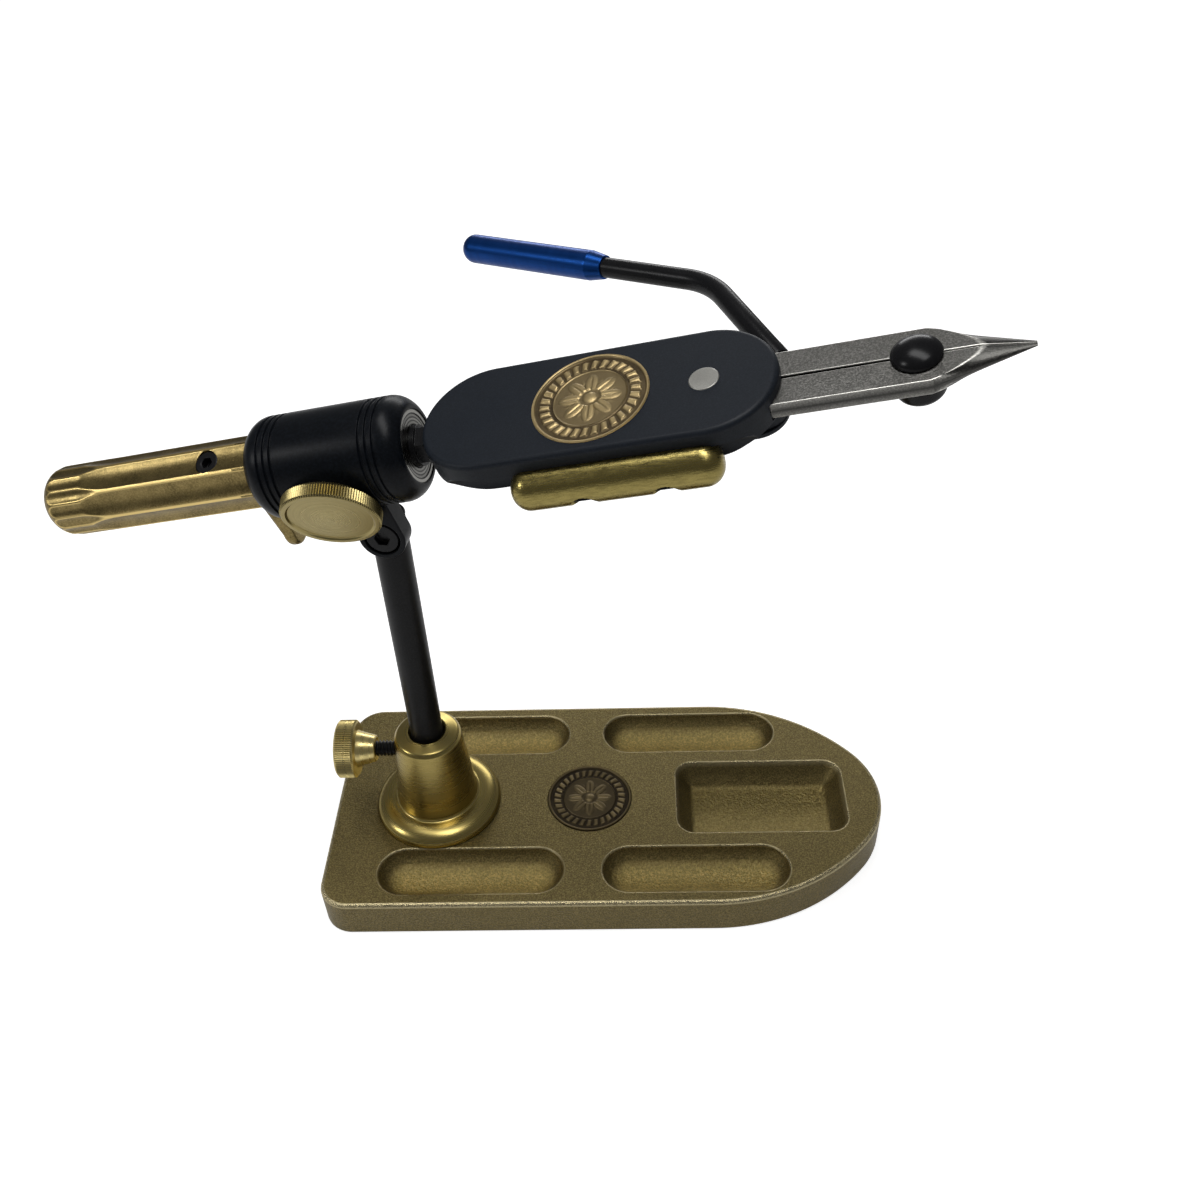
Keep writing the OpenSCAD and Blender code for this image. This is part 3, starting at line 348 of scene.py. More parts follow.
def flat(loops, place, height):
    """Triangles that fill the first loop outside the others, at one height along the place's z."""
    kept = [loop[np.linalg.norm(loop - np.roll(loop, 1, 0), axis=1) > 1e-7] for loop in loops]
    points = np.concatenate(kept)
    lists = [[Vector((x, y, 0)) for x, y in loop] for loop in kept]
    faces = np.array(tessellate_polygon(lists))
    return place.out(np.column_stack([points, np.full(len(points), height)])), faces


def piece(name, shells, body, nodes, material, sharp=38.0, masks=None):
    """One mesh object from shells of points and faces, its doubles merged and its faces turned outwards.

    The masks give each shell's points a number that the material reads.
    """
    points, faces, shift = [], [], 0
    for shell_points, shell_faces in shells:
        points.append(shell_points)
        faces += (shell_faces + shift).tolist()
        shift += len(shell_points)
    mesh = bpy.data.meshes.new(name)
    mesh.from_pydata(np.concatenate(points), [], faces)
    if masks is not None:
        layer = mesh.attributes.new("mask", "FLOAT", "POINT")
        layer.data.foreach_set("value", np.concatenate(masks).astype(np.float32))
    work = bmesh.new()
    work.from_mesh(mesh)
    bmesh.ops.remove_doubles(work, verts=work.verts, dist=WELD)
    bmesh.ops.recalc_face_normals(work, faces=work.faces)
    work.to_mesh(mesh)
    work.free()
    return shown(name, mesh, body, nodes, material, sharp)


def shown(name, mesh, body, nodes, material, sharp):
    """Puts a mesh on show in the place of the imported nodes, smooth but for its sharp edges."""
    mesh.polygons.foreach_set("use_smooth", [True] * len(mesh.polygons))
    mesh.set_sharp_from_angle(angle=math.radians(sharp))
    mesh.materials.clear()
    mesh.materials.append(material)
    obj = bpy.data.objects.new(name, mesh)
    bpy.context.scene.collection.objects.link(obj)
    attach(obj, body)
    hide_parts(*nodes)
    return obj


def body_of(node):
    """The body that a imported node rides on."""
    return frame["nodes"][node]["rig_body"]


def merged(node):
    """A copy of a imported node's mesh, its doubles merged and its flat faces made whole."""
    work = bmesh.new()
    work.from_mesh(frame["nodes"][node].data)
    bmesh.ops.remove_doubles(work, verts=work.verts, dist=CAD_WELD)
    bmesh.ops.dissolve_limit(work, angle_limit=math.radians(0.3), verts=work.verts, edges=work.edges)
    bmesh.ops.recalc_face_normals(work, faces=work.faces)
    work.verts.index_update()
    mesh = bpy.data.meshes.new(node + "_finished")
    mesh.from_pydata([v.co[:] for v in work.verts], [], [[v.index for v in f.verts] for f in work.faces])
    work.free()
    return mesh


def machined(node, material, edge):
    """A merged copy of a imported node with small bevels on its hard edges, its flat faces kept flat."""
    obj = shown(node + "_finished", merged(node), body_of(node), [node], material, HARD_ANGLE)
    bevel = obj.modifiers.new("Eased edges", "BEVEL")
    bevel.width = edge
    bevel.segments = 2
    bevel.limit_method = "ANGLE"
    bevel.angle_limit = math.radians(HARD_ANGLE)
    weighted = obj.modifiers.new("Flat faces", "WEIGHTED_NORMAL")
    weighted.keep_sharp = True


# Outlines of the base

def arcs(pieces, offset, steps):
    """Closed outline through arcs of (centre, radius, first and last degree), moved outwards by offset."""
    out = []
    for centre, radius, first, last in pieces:
        turn = np.radians(np.linspace(first, last, steps + 1))
        out.append(np.array(centre) + (radius + offset) * np.stack([np.cos(turn), np.sin(turn)], 1))
    return np.concatenate(out)


def base_outline(offset, low, high, s):
    """Square end with two round corners and a nose of three tangent arcs, moved outwards by offset."""
    half_w = (high[1] - low[1]) / 2
    side_x = high[0] - s.nose_len
    reach = s.nose_len - s.nose_tip_r
    side_r = (reach ** 2 + half_w ** 2 - s.nose_tip_r ** 2) / (2 * (half_w - s.nose_tip_r))
    join = math.degrees(math.atan2(side_r - half_w, reach))
    corner = (low[0] + s.corner_r, half_w - s.corner_r)
    return arcs([
        ((side_x + reach, 0), s.nose_tip_r, -join, join),
        ((side_x, half_w - side_r), side_r, join, 90),
        (corner, s.corner_r, 90, 180),
        ((corner[0], -corner[1]), s.corner_r, 180, 270),
        ((side_x, side_r - half_w), side_r, 270, 360 - join),
    ], offset, steps=28)


def tray_outline(offset, centre, s):
    """Slot with two round ends, moved outwards by offset."""
    reach = s.tray_len / 2 - s.tray_r
    x, y = centre
    return arcs([((x + reach, y), s.tray_r, -90, 90), ((x - reach, y), s.tray_r, 90, 270)], offset, steps=36)


def dish_outline(offset, centre, s):
    """Rectangle with round corners, moved outwards by offset, its corners never sharper than one radius."""
    least_r = 0.8 * MM
    radius = max(s.dish_corner_r + offset, least_r)
    x, y = s.dish_len / 2 + offset - radius, s.dish_w / 2 + offset - radius
    corners = [(x, -y, 270, 360), (x, y, 0, 90), (-x, y, 90, 180), (-x, -y, 180, 270)]
    return arcs([((centre[0] + a, centre[1] + b), radius, first, last) for a, b, first, last in corners],
                0, steps=12)


def round_outline(offset, centre, radius):
    """Circle moved outwards by offset, with a point every five degrees."""
    return arcs([(centre, radius, 0, 355)], offset, steps=71)


def walled(outline, profile):
    """Rows of an outline moved outwards by each profile point's first value, at its second value's height."""
    rows = []
    for offset, height in profile:
        loop = outline(offset)
        rows.append(np.column_stack([loop, np.full(len(loop), height)]))
    return np.array(rows)


# Finishes

def new_group(name, inputs, outputs):
    """An empty shader node group with named sockets of (name, type, default)."""
    group = bpy.data.node_groups.new(name, "ShaderNodeTree")
    for label, kind, default in inputs:
        socket = group.interface.new_socket(label, in_out="INPUT", socket_type=kind)
        if default is not None:
            socket.default_value = default
    for label, kind in outputs:
        group.interface.new_socket(label, in_out="OUTPUT", socket_type=kind)
    return group, group.nodes.new("NodeGroupInput"), group.nodes.new("NodeGroupOutput")


def maths(tree, operation, *values):
    """A Math node whose inputs are sockets or numbers; returns its output."""
    node = tree.nodes.new("ShaderNodeMath")
    node.operation = operation
    for socket, value in zip(node.inputs, values):
        if isinstance(value, (int, float)):
            socket.default_value = value
        else:
            tree.links.new(value, socket)
    return node.outputs[0]


def vector_maths(tree, operation, *values):
    """A Vector Math node whose inputs are sockets or triples; returns the node."""
    node = tree.nodes.new("ShaderNodeVectorMath")
    node.operation = operation
    for socket, value in zip(node.inputs, values):
        if isinstance(value, (tuple, list)):
            socket.default_value = value
        else:
            tree.links.new(value, socket)
    return node


def noise(tree, vector, scale, detail, rough, dims="3D"):
    """A Noise Texture over a vector socket; scale is a socket or a number."""
    node = tree.nodes.new("ShaderNodeTexNoise")
    node.noise_dimensions = dims
    node.inputs["Detail"].default_value = detail
    node.inputs["Roughness"].default_value = rough
    tree.links.new(vector, node.inputs["Vector"])
    if isinstance(scale, (int, float)):
        node.inputs["Scale"].default_value = scale
    else:
        tree.links.new(scale, node.inputs["Scale"])
    return node.outputs["Fac"]


def ranged(tree, value, low, high, to_low=0.0, to_high=1.0):
    """A Map Range node over a socket, its result held within its two ends; returns its output."""
    node = tree.nodes.new("ShaderNodeMapRange")
    tree.links.new(value, node.inputs["Value"])
    for label, number in zip(("From Min", "From Max", "To Min", "To Max"), (low, high, to_low, to_high)):
        node.inputs[label].default_value = number
    return node.outputs["Result"]


def grain_group():
    """Speckled grain from Object coordinates: coarse blotches, fine specks and a grit for height."""
    if "Metal grain" in bpy.data.node_groups:
        return bpy.data.node_groups["Metal grain"]
    group, given, out = new_group(
        "Metal grain",
        [("Coordinates", "NodeSocketVector", None), ("Scale", "NodeSocketFloat", 900.0)],
        [("Blotch", "NodeSocketFloat"), ("Speck", "NodeSocketFloat"), ("Height", "NodeSocketFloat")])
    where, scale = given.outputs["Coordinates"], given.outputs["Scale"]
    blotch = noise(group, where, maths(group, "MULTIPLY", scale, 0.06), detail=4.0, rough=0.6)
    speck = noise(group, where, maths(group, "MULTIPLY", scale, 1.6), detail=2.0, rough=0.7)
    grit = noise(group, where, scale, detail=4.0, rough=0.65)
    group.links.new(ranged(group, blotch, 0.32, 0.68), out.inputs["Blotch"])
    group.links.new(ranged(group, speck, 0.42, 0.66), out.inputs["Speck"])
    group.links.new(grit, out.inputs["Height"])
    return group


def turning_group():
    """Turning marks: noise over the distance along an axis and the distance from it."""
    if "Turning marks" in bpy.data.node_groups:
        return bpy.data.node_groups["Turning marks"]
    group, given, out = new_group(
        "Turning marks",
        [("Coordinates", "NodeSocketVector", None), ("Centre", "NodeSocketVector", None),
         ("Axis", "NodeSocketVector", None), ("Scale", "NodeSocketFloat", 6000.0)],
        [("Rings", "NodeSocketFloat"), ("Height", "NodeSocketFloat"), ("Radius", "NodeSocketFloat")])
    axis, scale = given.outputs["Axis"], given.outputs["Scale"]
    offset = vector_maths(group, "SUBTRACT", given.outputs["Coordinates"], given.outputs["Centre"]).outputs[0]
    along = vector_maths(group, "DOT_PRODUCT", offset, axis).outputs["Value"]
    across = vector_maths(group, "CROSS_PRODUCT", offset, axis).outputs[0]
    radius = vector_maths(group, "LENGTH", across).outputs["Value"]
    both = group.nodes.new("ShaderNodeCombineXYZ")
    group.links.new(along, both.inputs[0])
    group.links.new(radius, both.inputs[1])
    where, coarser = both.outputs[0], maths(group, "MULTIPLY", scale, 0.12)
    marks = noise(group, where, scale, detail=3.0, rough=0.6, dims="2D")
    broad = noise(group, where, coarser, detail=2.0, rough=0.5, dims="2D")
    group.links.new(ranged(group, broad, 0.35, 0.65), out.inputs["Rings"])
    group.links.new(marks, out.inputs["Height"])
    group.links.new(radius, out.inputs["Radius"])
    return group


class Finish:
    """A material with one Principled shader, built step by step from a colour."""

    def __init__(self, name, base, metallic):
        self.material = bpy.data.materials.new(name)
        self.material.use_nodes = True
        self.tree = self.material.node_tree
        self.shader = self.tree.nodes["Principled BSDF"]
        self.shader.inputs["Metallic"].default_value = metallic
        self.base = (*base, 1)
        self.colour = None
        self.height = None
        coordinates = self.tree.nodes.new("ShaderNodeTexCoord")
        self.where = coordinates.outputs["Object"]

    def group(self, tree, **values):
        """A shared effect on the piece's own coordinates, with its own values."""
        node = self.tree.nodes.new("ShaderNodeGroup")
        node.node_tree = tree
        self.tree.links.new(self.where, node.inputs["Coordinates"])
        for label, value in values.items():
            node.inputs[label].default_value = value
        return node

    def grain(self, scale):
        """The speckled grain at a scale."""
        return self.group(grain_group(), Scale=scale).outputs

    def turning(self, place, scale):
        """Turning marks about a place's x."""
        return self.group(turning_group(), Centre=tuple(place.origin), Axis=tuple(place.axes[0]),
                          Scale=scale).outputs

    def tint(self, mask, other, amount):
        """Mixes another colour in where the mask is high."""
        mix = self.tree.nodes.new("ShaderNodeMix")
        mix.data_type = "RGBA"
        factor, under, over, result = mix.inputs[0], mix.inputs[6], mix.inputs[7], mix.outputs[2]
        self.tree.links.new(maths(self.tree, "MULTIPLY", mask, amount), factor)
        if self.colour is None:
            under.default_value = self.base
        else:
            self.tree.links.new(self.colour, under)
        over.default_value = (*other, 1)
        self.colour = result

    def rough(self, mask, low, high):
        """Lets the roughness run from low to high with the mask."""
        self.tree.links.new(ranged(self.tree, mask, 0, 1, low, high), self.shader.inputs["Roughness"])

    def bump(self, height, strength, distance):
        """Adds a height to the surface."""
        node = self.tree.nodes.new("ShaderNodeBump")
        node.inputs["Strength"].default_value = strength
        node.inputs["Distance"].default_value = distance
        self.tree.links.new(height, node.inputs["Height"])
        if self.height is not None:
            self.tree.links.new(self.height, node.inputs["Normal"])
        self.height = node.outputs["Normal"]

    def mask(self):
        """The piece's own mask, as written on its points."""
        node = self.tree.nodes.new("ShaderNodeAttribute")
        node.attribute_name = "mask"
        return node.outputs["Fac"]

    def done(self):
        """Joins the colour and the height to the shader and gives the material."""
        self.tree.links.new(self.colour, self.shader.inputs["Base Color"])
        self.tree.links.new(self.height, self.shader.inputs["Normal"])
        return self.material


def shade(base, factor):
    """A colour made darker or brighter by a factor."""
    return tuple(min(1.0, c * factor) for c in base)


def cast_bronze():
    """Metallic bronze paint over a cast skin: rubbed bright with a painted highlight at the rims, coarse in
    the hollows, with a painted pool of light on their floors.
    """
    base, edge = colours().bronze_paint, colours().bronze_rub_and_highlight
    f = Finish("Cast bronze paint", base, metallic=0.85)
    fine, coarse = f.grain(1500.0), f.grain(900.0)
    f.tint(fine["Blotch"], shade(base, 1.25), amount=0.6)
    f.tint(fine["Speck"], shade(base, 3.0), amount=0.7)
    mask = f.mask()
    rims = ranged(f.tree, mask, PLAIN, 1.0)
    hollows = ranged(f.tree, mask, 0.0, -1.0)
    # Painted highlight, partly rubbed paint: the rims and the top edge's rounding get the bright edge colour
    f.tint(rims, edge, amount=0.8)
    # Painted light: the deepest parts of the trays and the dish are painted lighter, with bright specks, as a
    # pool of light on their floors
    deep = ranged(f.tree, hollows, 0.6, 0.98)
    f.tint(deep, shade(base, 4.8), amount=0.8)
    f.tint(maths(f.tree, "MULTIPLY", coarse["Speck"], deep), shade(base, 8.0), amount=0.7)
    dull = maths(f.tree, "MULTIPLY_ADD", fine["Blotch"], 0.4, 0.6)
    f.rough(maths(f.tree, "SUBTRACT", dull, maths(f.tree, "MULTIPLY", rims, 0.6)), low=0.16, high=0.43)
    f.bump(fine["Height"], strength=0.9, distance=0.26 * MM)
    f.bump(maths(f.tree, "MULTIPLY", coarse["Height"], hollows), strength=1.0, distance=0.9 * MM)
    return f.done()


def old_bronze(name, tone):
    """Antique bronze: dark in the low places of the relief and rubbed bright on the high ones."""
    base, low = colours().old_bronze, colours().old_bronze_low
    f = Finish(name, shade(low, tone), metallic=0.9)
    grain = f.grain(2200.0)
    f.tint(f.mask(), shade(base, tone), amount=0.95)
    f.tint(grain["Blotch"], shade(base, 0.7 * tone), amount=0.3)
    f.rough(grain["Speck"], low=0.34, high=0.5)
    f.bump(grain["Height"], strength=0.45, distance=0.06 * MM)
    return f.done()


def turned_metal(name, base, place, low, high, marks, metallic=1.0, scale=6000.0, bands=0.5, shade_valleys=False):
    """Turned metal with fine rings about the place's x, its roughness running from low to high.

    The marks are the strength of the rings' height and the bands that of their colour. Where the knurl's
    valleys are to be shaded, the piece's mask paints shade into them.
    """
    f = Finish(name, base, metallic=metallic)
    rings, grain = f.turning(place, scale), f.grain(1800.0)
    f.tint(rings["Rings"], shade(base, 0.8), amount=bands)
    f.tint(grain["Blotch"], shade(base, 1.12), amount=0.4)
    if shade_valleys:
        # Painted shade in the valleys between the knurled teeth
        f.tint(f.mask(), shade(base, 0.25), amount=0.85)
    f.rough(rings["Rings"], low=low, high=high)
    f.bump(rings["Height"], strength=marks, distance=0.03 * MM)
    return f.done()


def blasted_steel():
    """Blasted steel with a coarse grit, a painted highlight along the piece's edges, slit and ridge, and
    painted shade on its walls and ground tips.
    """
    base = colours().jaw_steel
    f = Finish("Blasted jaw steel", base, metallic=1.0)
    grain = f.grain(1500.0)
    f.tint(grain["Blotch"], shade(base, 0.8), amount=0.5)
    f.tint(grain["Speck"], shade(base, 2.2), amount=0.6)
    mask = f.mask()
    # Painted shade where the mask is below 0: on the walls and the ground tips
    f.tint(ranged(f.tree, mask, 0.0, -1.0), shade(base, 0.2), amount=0.9)
    # Painted highlight where the mask is above 0
    f.tint(mask, shade(base, 5.0), amount=0.9)
    f.rough(grain["Speck"], low=0.32, high=0.44)
    f.bump(grain["Height"], strength=0.7, distance=0.08 * MM)
    return f.done()


def ringed_metal(name, base, place, spacing):
    """Bearing steel with painted shade in dark lines about the place's x, one spacing apart, for the shaded
    grooves between its rings.
    """
    f = Finish(name, base, metallic=1.0)
    rings = f.turning(place, 9000.0)
    # Painted shade: dark lines one spacing apart, standing in for the shaded grooves on the bearing's face
    wave = maths(f.tree, "SINE", maths(f.tree, "MULTIPLY", rings["Radius"], TURN / spacing))
    f.tint(ranged(f.tree, wave, -0.1, 0.4), shade(base, 0.02), amount=0.98)
    f.tint(rings["Rings"], shade(base, 0.7), amount=0.5)
    f.rough(rings["Rings"], low=0.24, high=0.36)
    f.bump(rings["Height"], strength=0.3, distance=0.03 * MM)
    return f.done()


def brushed_metal(name, base, place, low, high):
    """Brass with long scratches and dents: noise drawn out five times along the place's x."""
    f = Finish(name, base, metallic=1.0)
    across = vector_maths(f.tree, "DOT_PRODUCT", f.where, tuple(place.axes[1] + place.axes[2]))
    along = vector_maths(f.tree, "DOT_PRODUCT", f.where, tuple(place.axes[0]))
    drawn = f.tree.nodes.new("ShaderNodeCombineXYZ")
    f.tree.links.new(maths(f.tree, "MULTIPLY", along.outputs["Value"], 0.2), drawn.inputs[0])
    f.tree.links.new(across.outputs["Value"], drawn.inputs[1])
    scratches = noise(f.tree, drawn.outputs[0], 1500.0, detail=4.0, rough=0.65, dims="2D")
    grain = f.grain(3200.0)
    f.tint(ranged(f.tree, scratches, 0.4, 0.7), shade(base, 0.5), amount=0.6)
    f.tint(grain["Speck"], shade(base, 1.4), amount=0.4)
    f.rough(ranged(f.tree, scratches, 0.35, 0.65), low=low, high=high)
    f.bump(scratches, strength=0.5, distance=0.08 * MM)
    f.bump(grain["Blotch"], strength=0.3, distance=0.1 * MM)
    return f.done()


def grained_metal(name, base, low, high, grit, scale=1800.0, metallic=1.0, lift=1.4, sheen=0.5):
    """Blasted or coated metal: a fine even grit with faint blotches and specks that are lifted in tone."""
    f = Finish(name, base, metallic=metallic)
    f.shader.inputs["Specular IOR Level"].default_value = sheen
    grain = f.grain(scale)
    f.tint(grain["Blotch"], shade(base, 0.8), amount=0.5)
    f.tint(grain["Speck"], shade(base, lift), amount=0.4)
    f.rough(grain["Blotch"], low=low, high=high)
    f.bump(grain["Height"], strength=grit, distance=0.05 * MM)
    return f.done()


def black_oxide():
    """Oil-blacked steel of the small parts, made once."""
    name = "Black oxide"
    return bpy.data.materials.get(name) or grained_metal(
        name, colours().black_oxide, low=0.26, high=0.4, grit=0.15, scale=1500.0, metallic=0.0, lift=2.0,
        sheen=0.25)


def black_barrel():
    """Black satin coat with fine turning marks and paler specks."""
    base = colours().black_coat
    f = Finish("Black satin barrel", shade(base, 0.3), metallic=0.0)
    f.shader.inputs["Specular IOR Level"].default_value = 0.15
    rings, grain = f.turning(BARREL, 4000.0), f.grain(900.0)
    f.tint(grain["Speck"], shade(base, 1.6), amount=0.25)
    f.rough(grain["Blotch"], low=0.26, high=0.38)
    f.bump(rings["Height"], strength=0.12, distance=0.03 * MM)
    return f.done()


def handle_metal():
    """Bronze anodised handle, made once: a fine grain, dark stains and a painted highlight along the ridges
    between its flutes.
    """
    name, base = "Bronze anodised handle", colours().handle_bronze
    if name in bpy.data.materials:
        return bpy.data.materials[name]
    f = Finish(name, base, metallic=1.0)
    grain, stains = f.grain(1400.0), f.grain(4500.0)
    f.tint(stains["Blotch"], shade(base, 0.4), amount=0.75)
    f.tint(grain["Speck"], shade(base, 1.7), amount=0.5)
    # Painted highlight along the ridges between the flutes, where the mask is high
    f.tint(f.mask(), shade(base, 3.4), amount=0.95)
    f.rough(grain["Blotch"], low=0.28, high=0.38)
    f.bump(grain["Height"], strength=0.4, distance=0.06 * MM)
    return f.done()


# Pieces

# Each disc's node, its place and the tone of its bronze
DISCS = (("base_medallion", TABLE, 0.38), ("head_medallion", HEAD, 1.3))


def hollow_mask(heights, top, depth, rim_share, hollow):
    """Mask down a hollow's wall: plain on the top, rubbed bright with a painted highlight round its rim, then
    falling with the depth towards the painted pool of light on the floor.
    """
    drop = np.clip((top - heights) / depth, 0, 1)
    return np.where(drop < 0.001, PLAIN, np.where(drop < rim_share, RIM, -hollow * drop))


def base_casting():
    """Plate with rounded edges; trays are slots swept in to their spines; the dish has sloping walls."""
    s = sizes()
    low, high = TABLE.span("base_plate")
    top, left = high[2], low[0]
    lip, rim = s.base_edge, s.tray_edge
    inward, outward = -1.12 * lip, 1.1 * rim
    shells, masks, holes = [], [], []

    def add(rows, mask):
        shells.append(skin(rows))
        masks.append(np.repeat(mask, rows.shape[1]))
        return rows[0, :, :2], rows[-1, :, :2]

    def add_flat(loops, height, value=0.0):
        shells.append(flat(loops, TABLE, height))
        masks.append(np.full(len(shells[-1][0]), value))

    side = eased([(inward, top, 0), (0, top, lip), (0, 0, lip / 2), (inward, 0, 0)], steps=6)
    # The rounding of the top edge gets the LIP value: rubbed paint with a painted highlight
    near_top = (side[:, 1] > top - lip) & (side[:, 1] < top - 0.02 * lip)
    outer, under = add(walled(lambda o: base_outline(o, low, high, s), side), np.where(near_top, LIP, PLAIN))

    cutter = (s.tray_r ** 2 + s.tray_depth ** 2) / (2 * s.tray_depth)
    wall = np.linspace(math.asin(s.tray_r / cutter), 0, 15)
    bowl = [(cutter * math.sin(a) - s.tray_r, top - s.tray_depth + cutter * (1 - math.cos(a)), 0)
            for a in wall]
    bowl[0] = (0, top, rim)
    tray = eased([(outward, top, 0)] + bowl, steps=5)
    tray_mask = hollow_mask(tray[:, 1], top, s.tray_depth, rim_share=0.12, hollow=1.0)
    for k in (0, 1):
        for sign in (-1, 1):
            x = left + s.tray_start + s.tray_len / 2 + k * (s.tray_len + s.tray_gap)
            rows = walled(lambda o: tray_outline(o, (x, sign * s.tray_y), s), tray)
            holes.append(add(rows, tray_mask)[0])

    floor_z, floor_edge, floor_rim = top - s.dish_depth, 2.2 * MM, 3 * MM
    dish = eased([(outward, top, 0), (0, top, rim), (-s.dish_slope, floor_z, floor_edge),
                  (-s.dish_slope - floor_rim, floor_z, 0)], steps=6)
    edge, floor_loop = add(walled(lambda o: dish_outline(o, (left + s.dish_x, 0), s), dish),
                           hollow_mask(dish[:, 1], top, s.dish_depth, rim_share=0.1, hollow=DISH_HOLLOW))
    holes.append(edge)
    add_flat([floor_loop], floor_z, -DISH_HOLLOW)

    disc_low, disc_high = TABLE.span("base_medallion")
    centre = ((disc_low[0] + disc_high[0]) / 2, 0)
    radius = (disc_high[0] - disc_low[0]) / 2
    gap, seat_edge, seat_z = 0.15 * MM, 0.25 * MM, top - s.disc_seat
    seat = eased([(1.2 * MM, top, 0), (gap, top, seat_edge), (gap, seat_z, 0),
                  (-1.5 * MM, seat_z, 0)], steps=3)
    edge, seat_loop = add(walled(lambda o: round_outline(o, centre, radius), seat), np.full(len(seat), PLAIN))
    holes.append(edge)
    add_flat([seat_loop], seat_z)
    add_flat([outer] + holes, top, PLAIN)

    nut_low, nut_high = TABLE.span("ring_nut")
    nut_gap = 0.4 * MM
    nut_r = (nut_high[0] - nut_low[0]) / 2 + nut_gap
    seat = eased([(1.5 * MM, 0, 0), (0, 0, 0.4 * MM), (0, s.nut_seat, 0), (-2 * MM, s.nut_seat, 0)], steps=3)
    edge, seat_loop = add(walled(lambda o: round_outline(o, (STEM_X, 0), nut_r), seat),
                          np.full(len(seat), PLAIN))
    add_flat([seat_loop], s.nut_seat)
    add_flat([under, edge], 0.0)
    piece("base_casting", shells, "base", ["base_plate"], cast_bronze(), masks=masks)


def rosette(node, place, tone):
    """Disc relief over (radius, angle): a rim, a ring of leaves, a fine ring and eight petals round a dome.

    The height is the greatest of these parts, each from 0 to 1. Radii are shares of the disc's.
    """
    low, high = place.span(node)
    centre, radius = (low + high) / 2, (high[0] - low[0]) / 2
    columns, leaves = 576, 30
    ease = 0.18 * MM
    chamfer = ease / radius
    share = np.concatenate([np.linspace(0, 1 - chamfer, 110), [1 - chamfer / 2, 1.0, 1.0]])
    rr, tt = share[:, None], around(columns)[None]

    def step(value, soft):
        return np.clip(value / soft, 0, 1)

    def band(inner, outer, soft):
        return step(rr - inner, soft) * step(outer - rr, soft)

    everywhere = 0 * tt
    rim = band(0.94, 1.2, 0.02) + everywhere
    fine_ring = 0.6 * band(0.61, 0.635, 0.01) + everywhere
    dome = np.clip(1 - (rr / 0.13) ** 2, 0, 1) ** 0.5 + everywhere
    field = 0.3 * step(0.64 - rr, 0.02) + everywhere

    leaf_middle, leaf_half, slant = 0.78, 0.36, 1.5
    cell = (tt / TURN * leaves) % 1 - 0.5
    leaf = step(leaf_half - np.abs(cell + slant * (rr - leaf_middle)), 0.08) * band(0.68, 0.87, 0.02)
    leaf = leaf * (0.75 + 0.25 * np.cos(cell * TURN))

    petal_tip, petal_foot, vein_depth = 0.56, 0.15, 0.35
    petal_edge = petal_tip * (0.4 + 0.6 * np.abs(np.cos(4 * tt)) ** 0.7)
    petal = np.clip(1 - (rr / petal_edge) ** 4, 0, 1) ** 0.5 * step(rr - petal_foot, 0.05)
    vein = vein_depth * np.clip(1 - np.abs(np.sin(4 * tt)) * rr * 9, 0, 1) * step(0.5 - rr, 0.1)
    sepal_edge = np.maximum(petal_tip * np.abs(np.sin(4 * tt)) ** 3, 1e-3)
    sepal = 0.45 * np.clip(1 - (rr / sepal_edge) ** 6, 0, 1) * step(rr - 0.3, 0.05)

    height = np.maximum.reduce([rim, 0.9 * leaf, fine_ring, 0.85 * petal - vein * petal, sepal, dome, field])
    edge_drop = np.where(rr > 1 - 0.6 * chamfer, ease, 0.0)
    z = high[2] - sizes().relief * (1 - height) - edge_drop
    z[-1] = low[2]
    local = np.stack([centre[0] + radius * rr * np.cos(tt), centre[1] + radius * rr * np.sin(tt), z], -1)
    back = flat([local[-1, :, :2]], place, low[2])
    masks = [np.clip(height * 1.15, 0, 1).reshape(-1), np.zeros(len(back[0]))]
    piece(node + "_rosette", [skin(place.out(local)), back], body_of(node), [node],
          old_bronze("Bronze of " + node, tone), sharp=60, masks=masks)


def stem_boss():
    """Turned boss: flange with a round bead, fillet, cone and softly domed top, its bore chamfered."""
    low, high = UPRIGHT.span("stem_boss")
    foot, top, flange = TABLE.span("base_plate")[1][2], high[0], high[1]
    bore = UPRIGHT.span("stem")[1][1] + 0.05 * MM
    bead = 0.144 * (top - foot)
    cone_foot, cone_top = 0.642 * flange, 0.503 * flange
    fillet, shoulder = 1.6 * MM, 2.2 * MM
    chamfer_w, chamfer_h = 0.9 * MM, 1.1 * MM
    spigot = flange - 0.6 * (foot - low[0])
    inner = cone_foot + 0.9 * MM
    torus = [(foot + 0.12 * bead + 0.88 * bead * math.sin(a), inner + (flange - inner) * math.cos(a), 0)
             for a in np.linspace(0, math.pi / 2, 14)]
    profile = eased(
        [(low[0], bore, 0), (top - chamfer_h, bore, 0.1 * MM), (top, bore + chamfer_w, 0.4 * MM),
         (top - chamfer_h, cone_top - 0.5 * MM, fillet), (top - shoulder, cone_top + 0.25 * MM, 0.5 * MM),
         (foot + bead, cone_foot, fillet)] + torus[::-1]
        + [(foot, flange - 0.3 * MM, 0), (foot, spigot, 0), (low[0], spigot, 0)], steps=10)
    metal = turned_metal("Satin brass boss", colours().boss_brass, UPRIGHT, low=0.26, high=0.3, marks=0.02,
                         bands=0.1)
    shell = turned(divided(profile, 3 * MM), UPRIGHT, columns=128, ring=True)
    piece("boss_turning", [shell], "base", ["stem_boss"], metal)


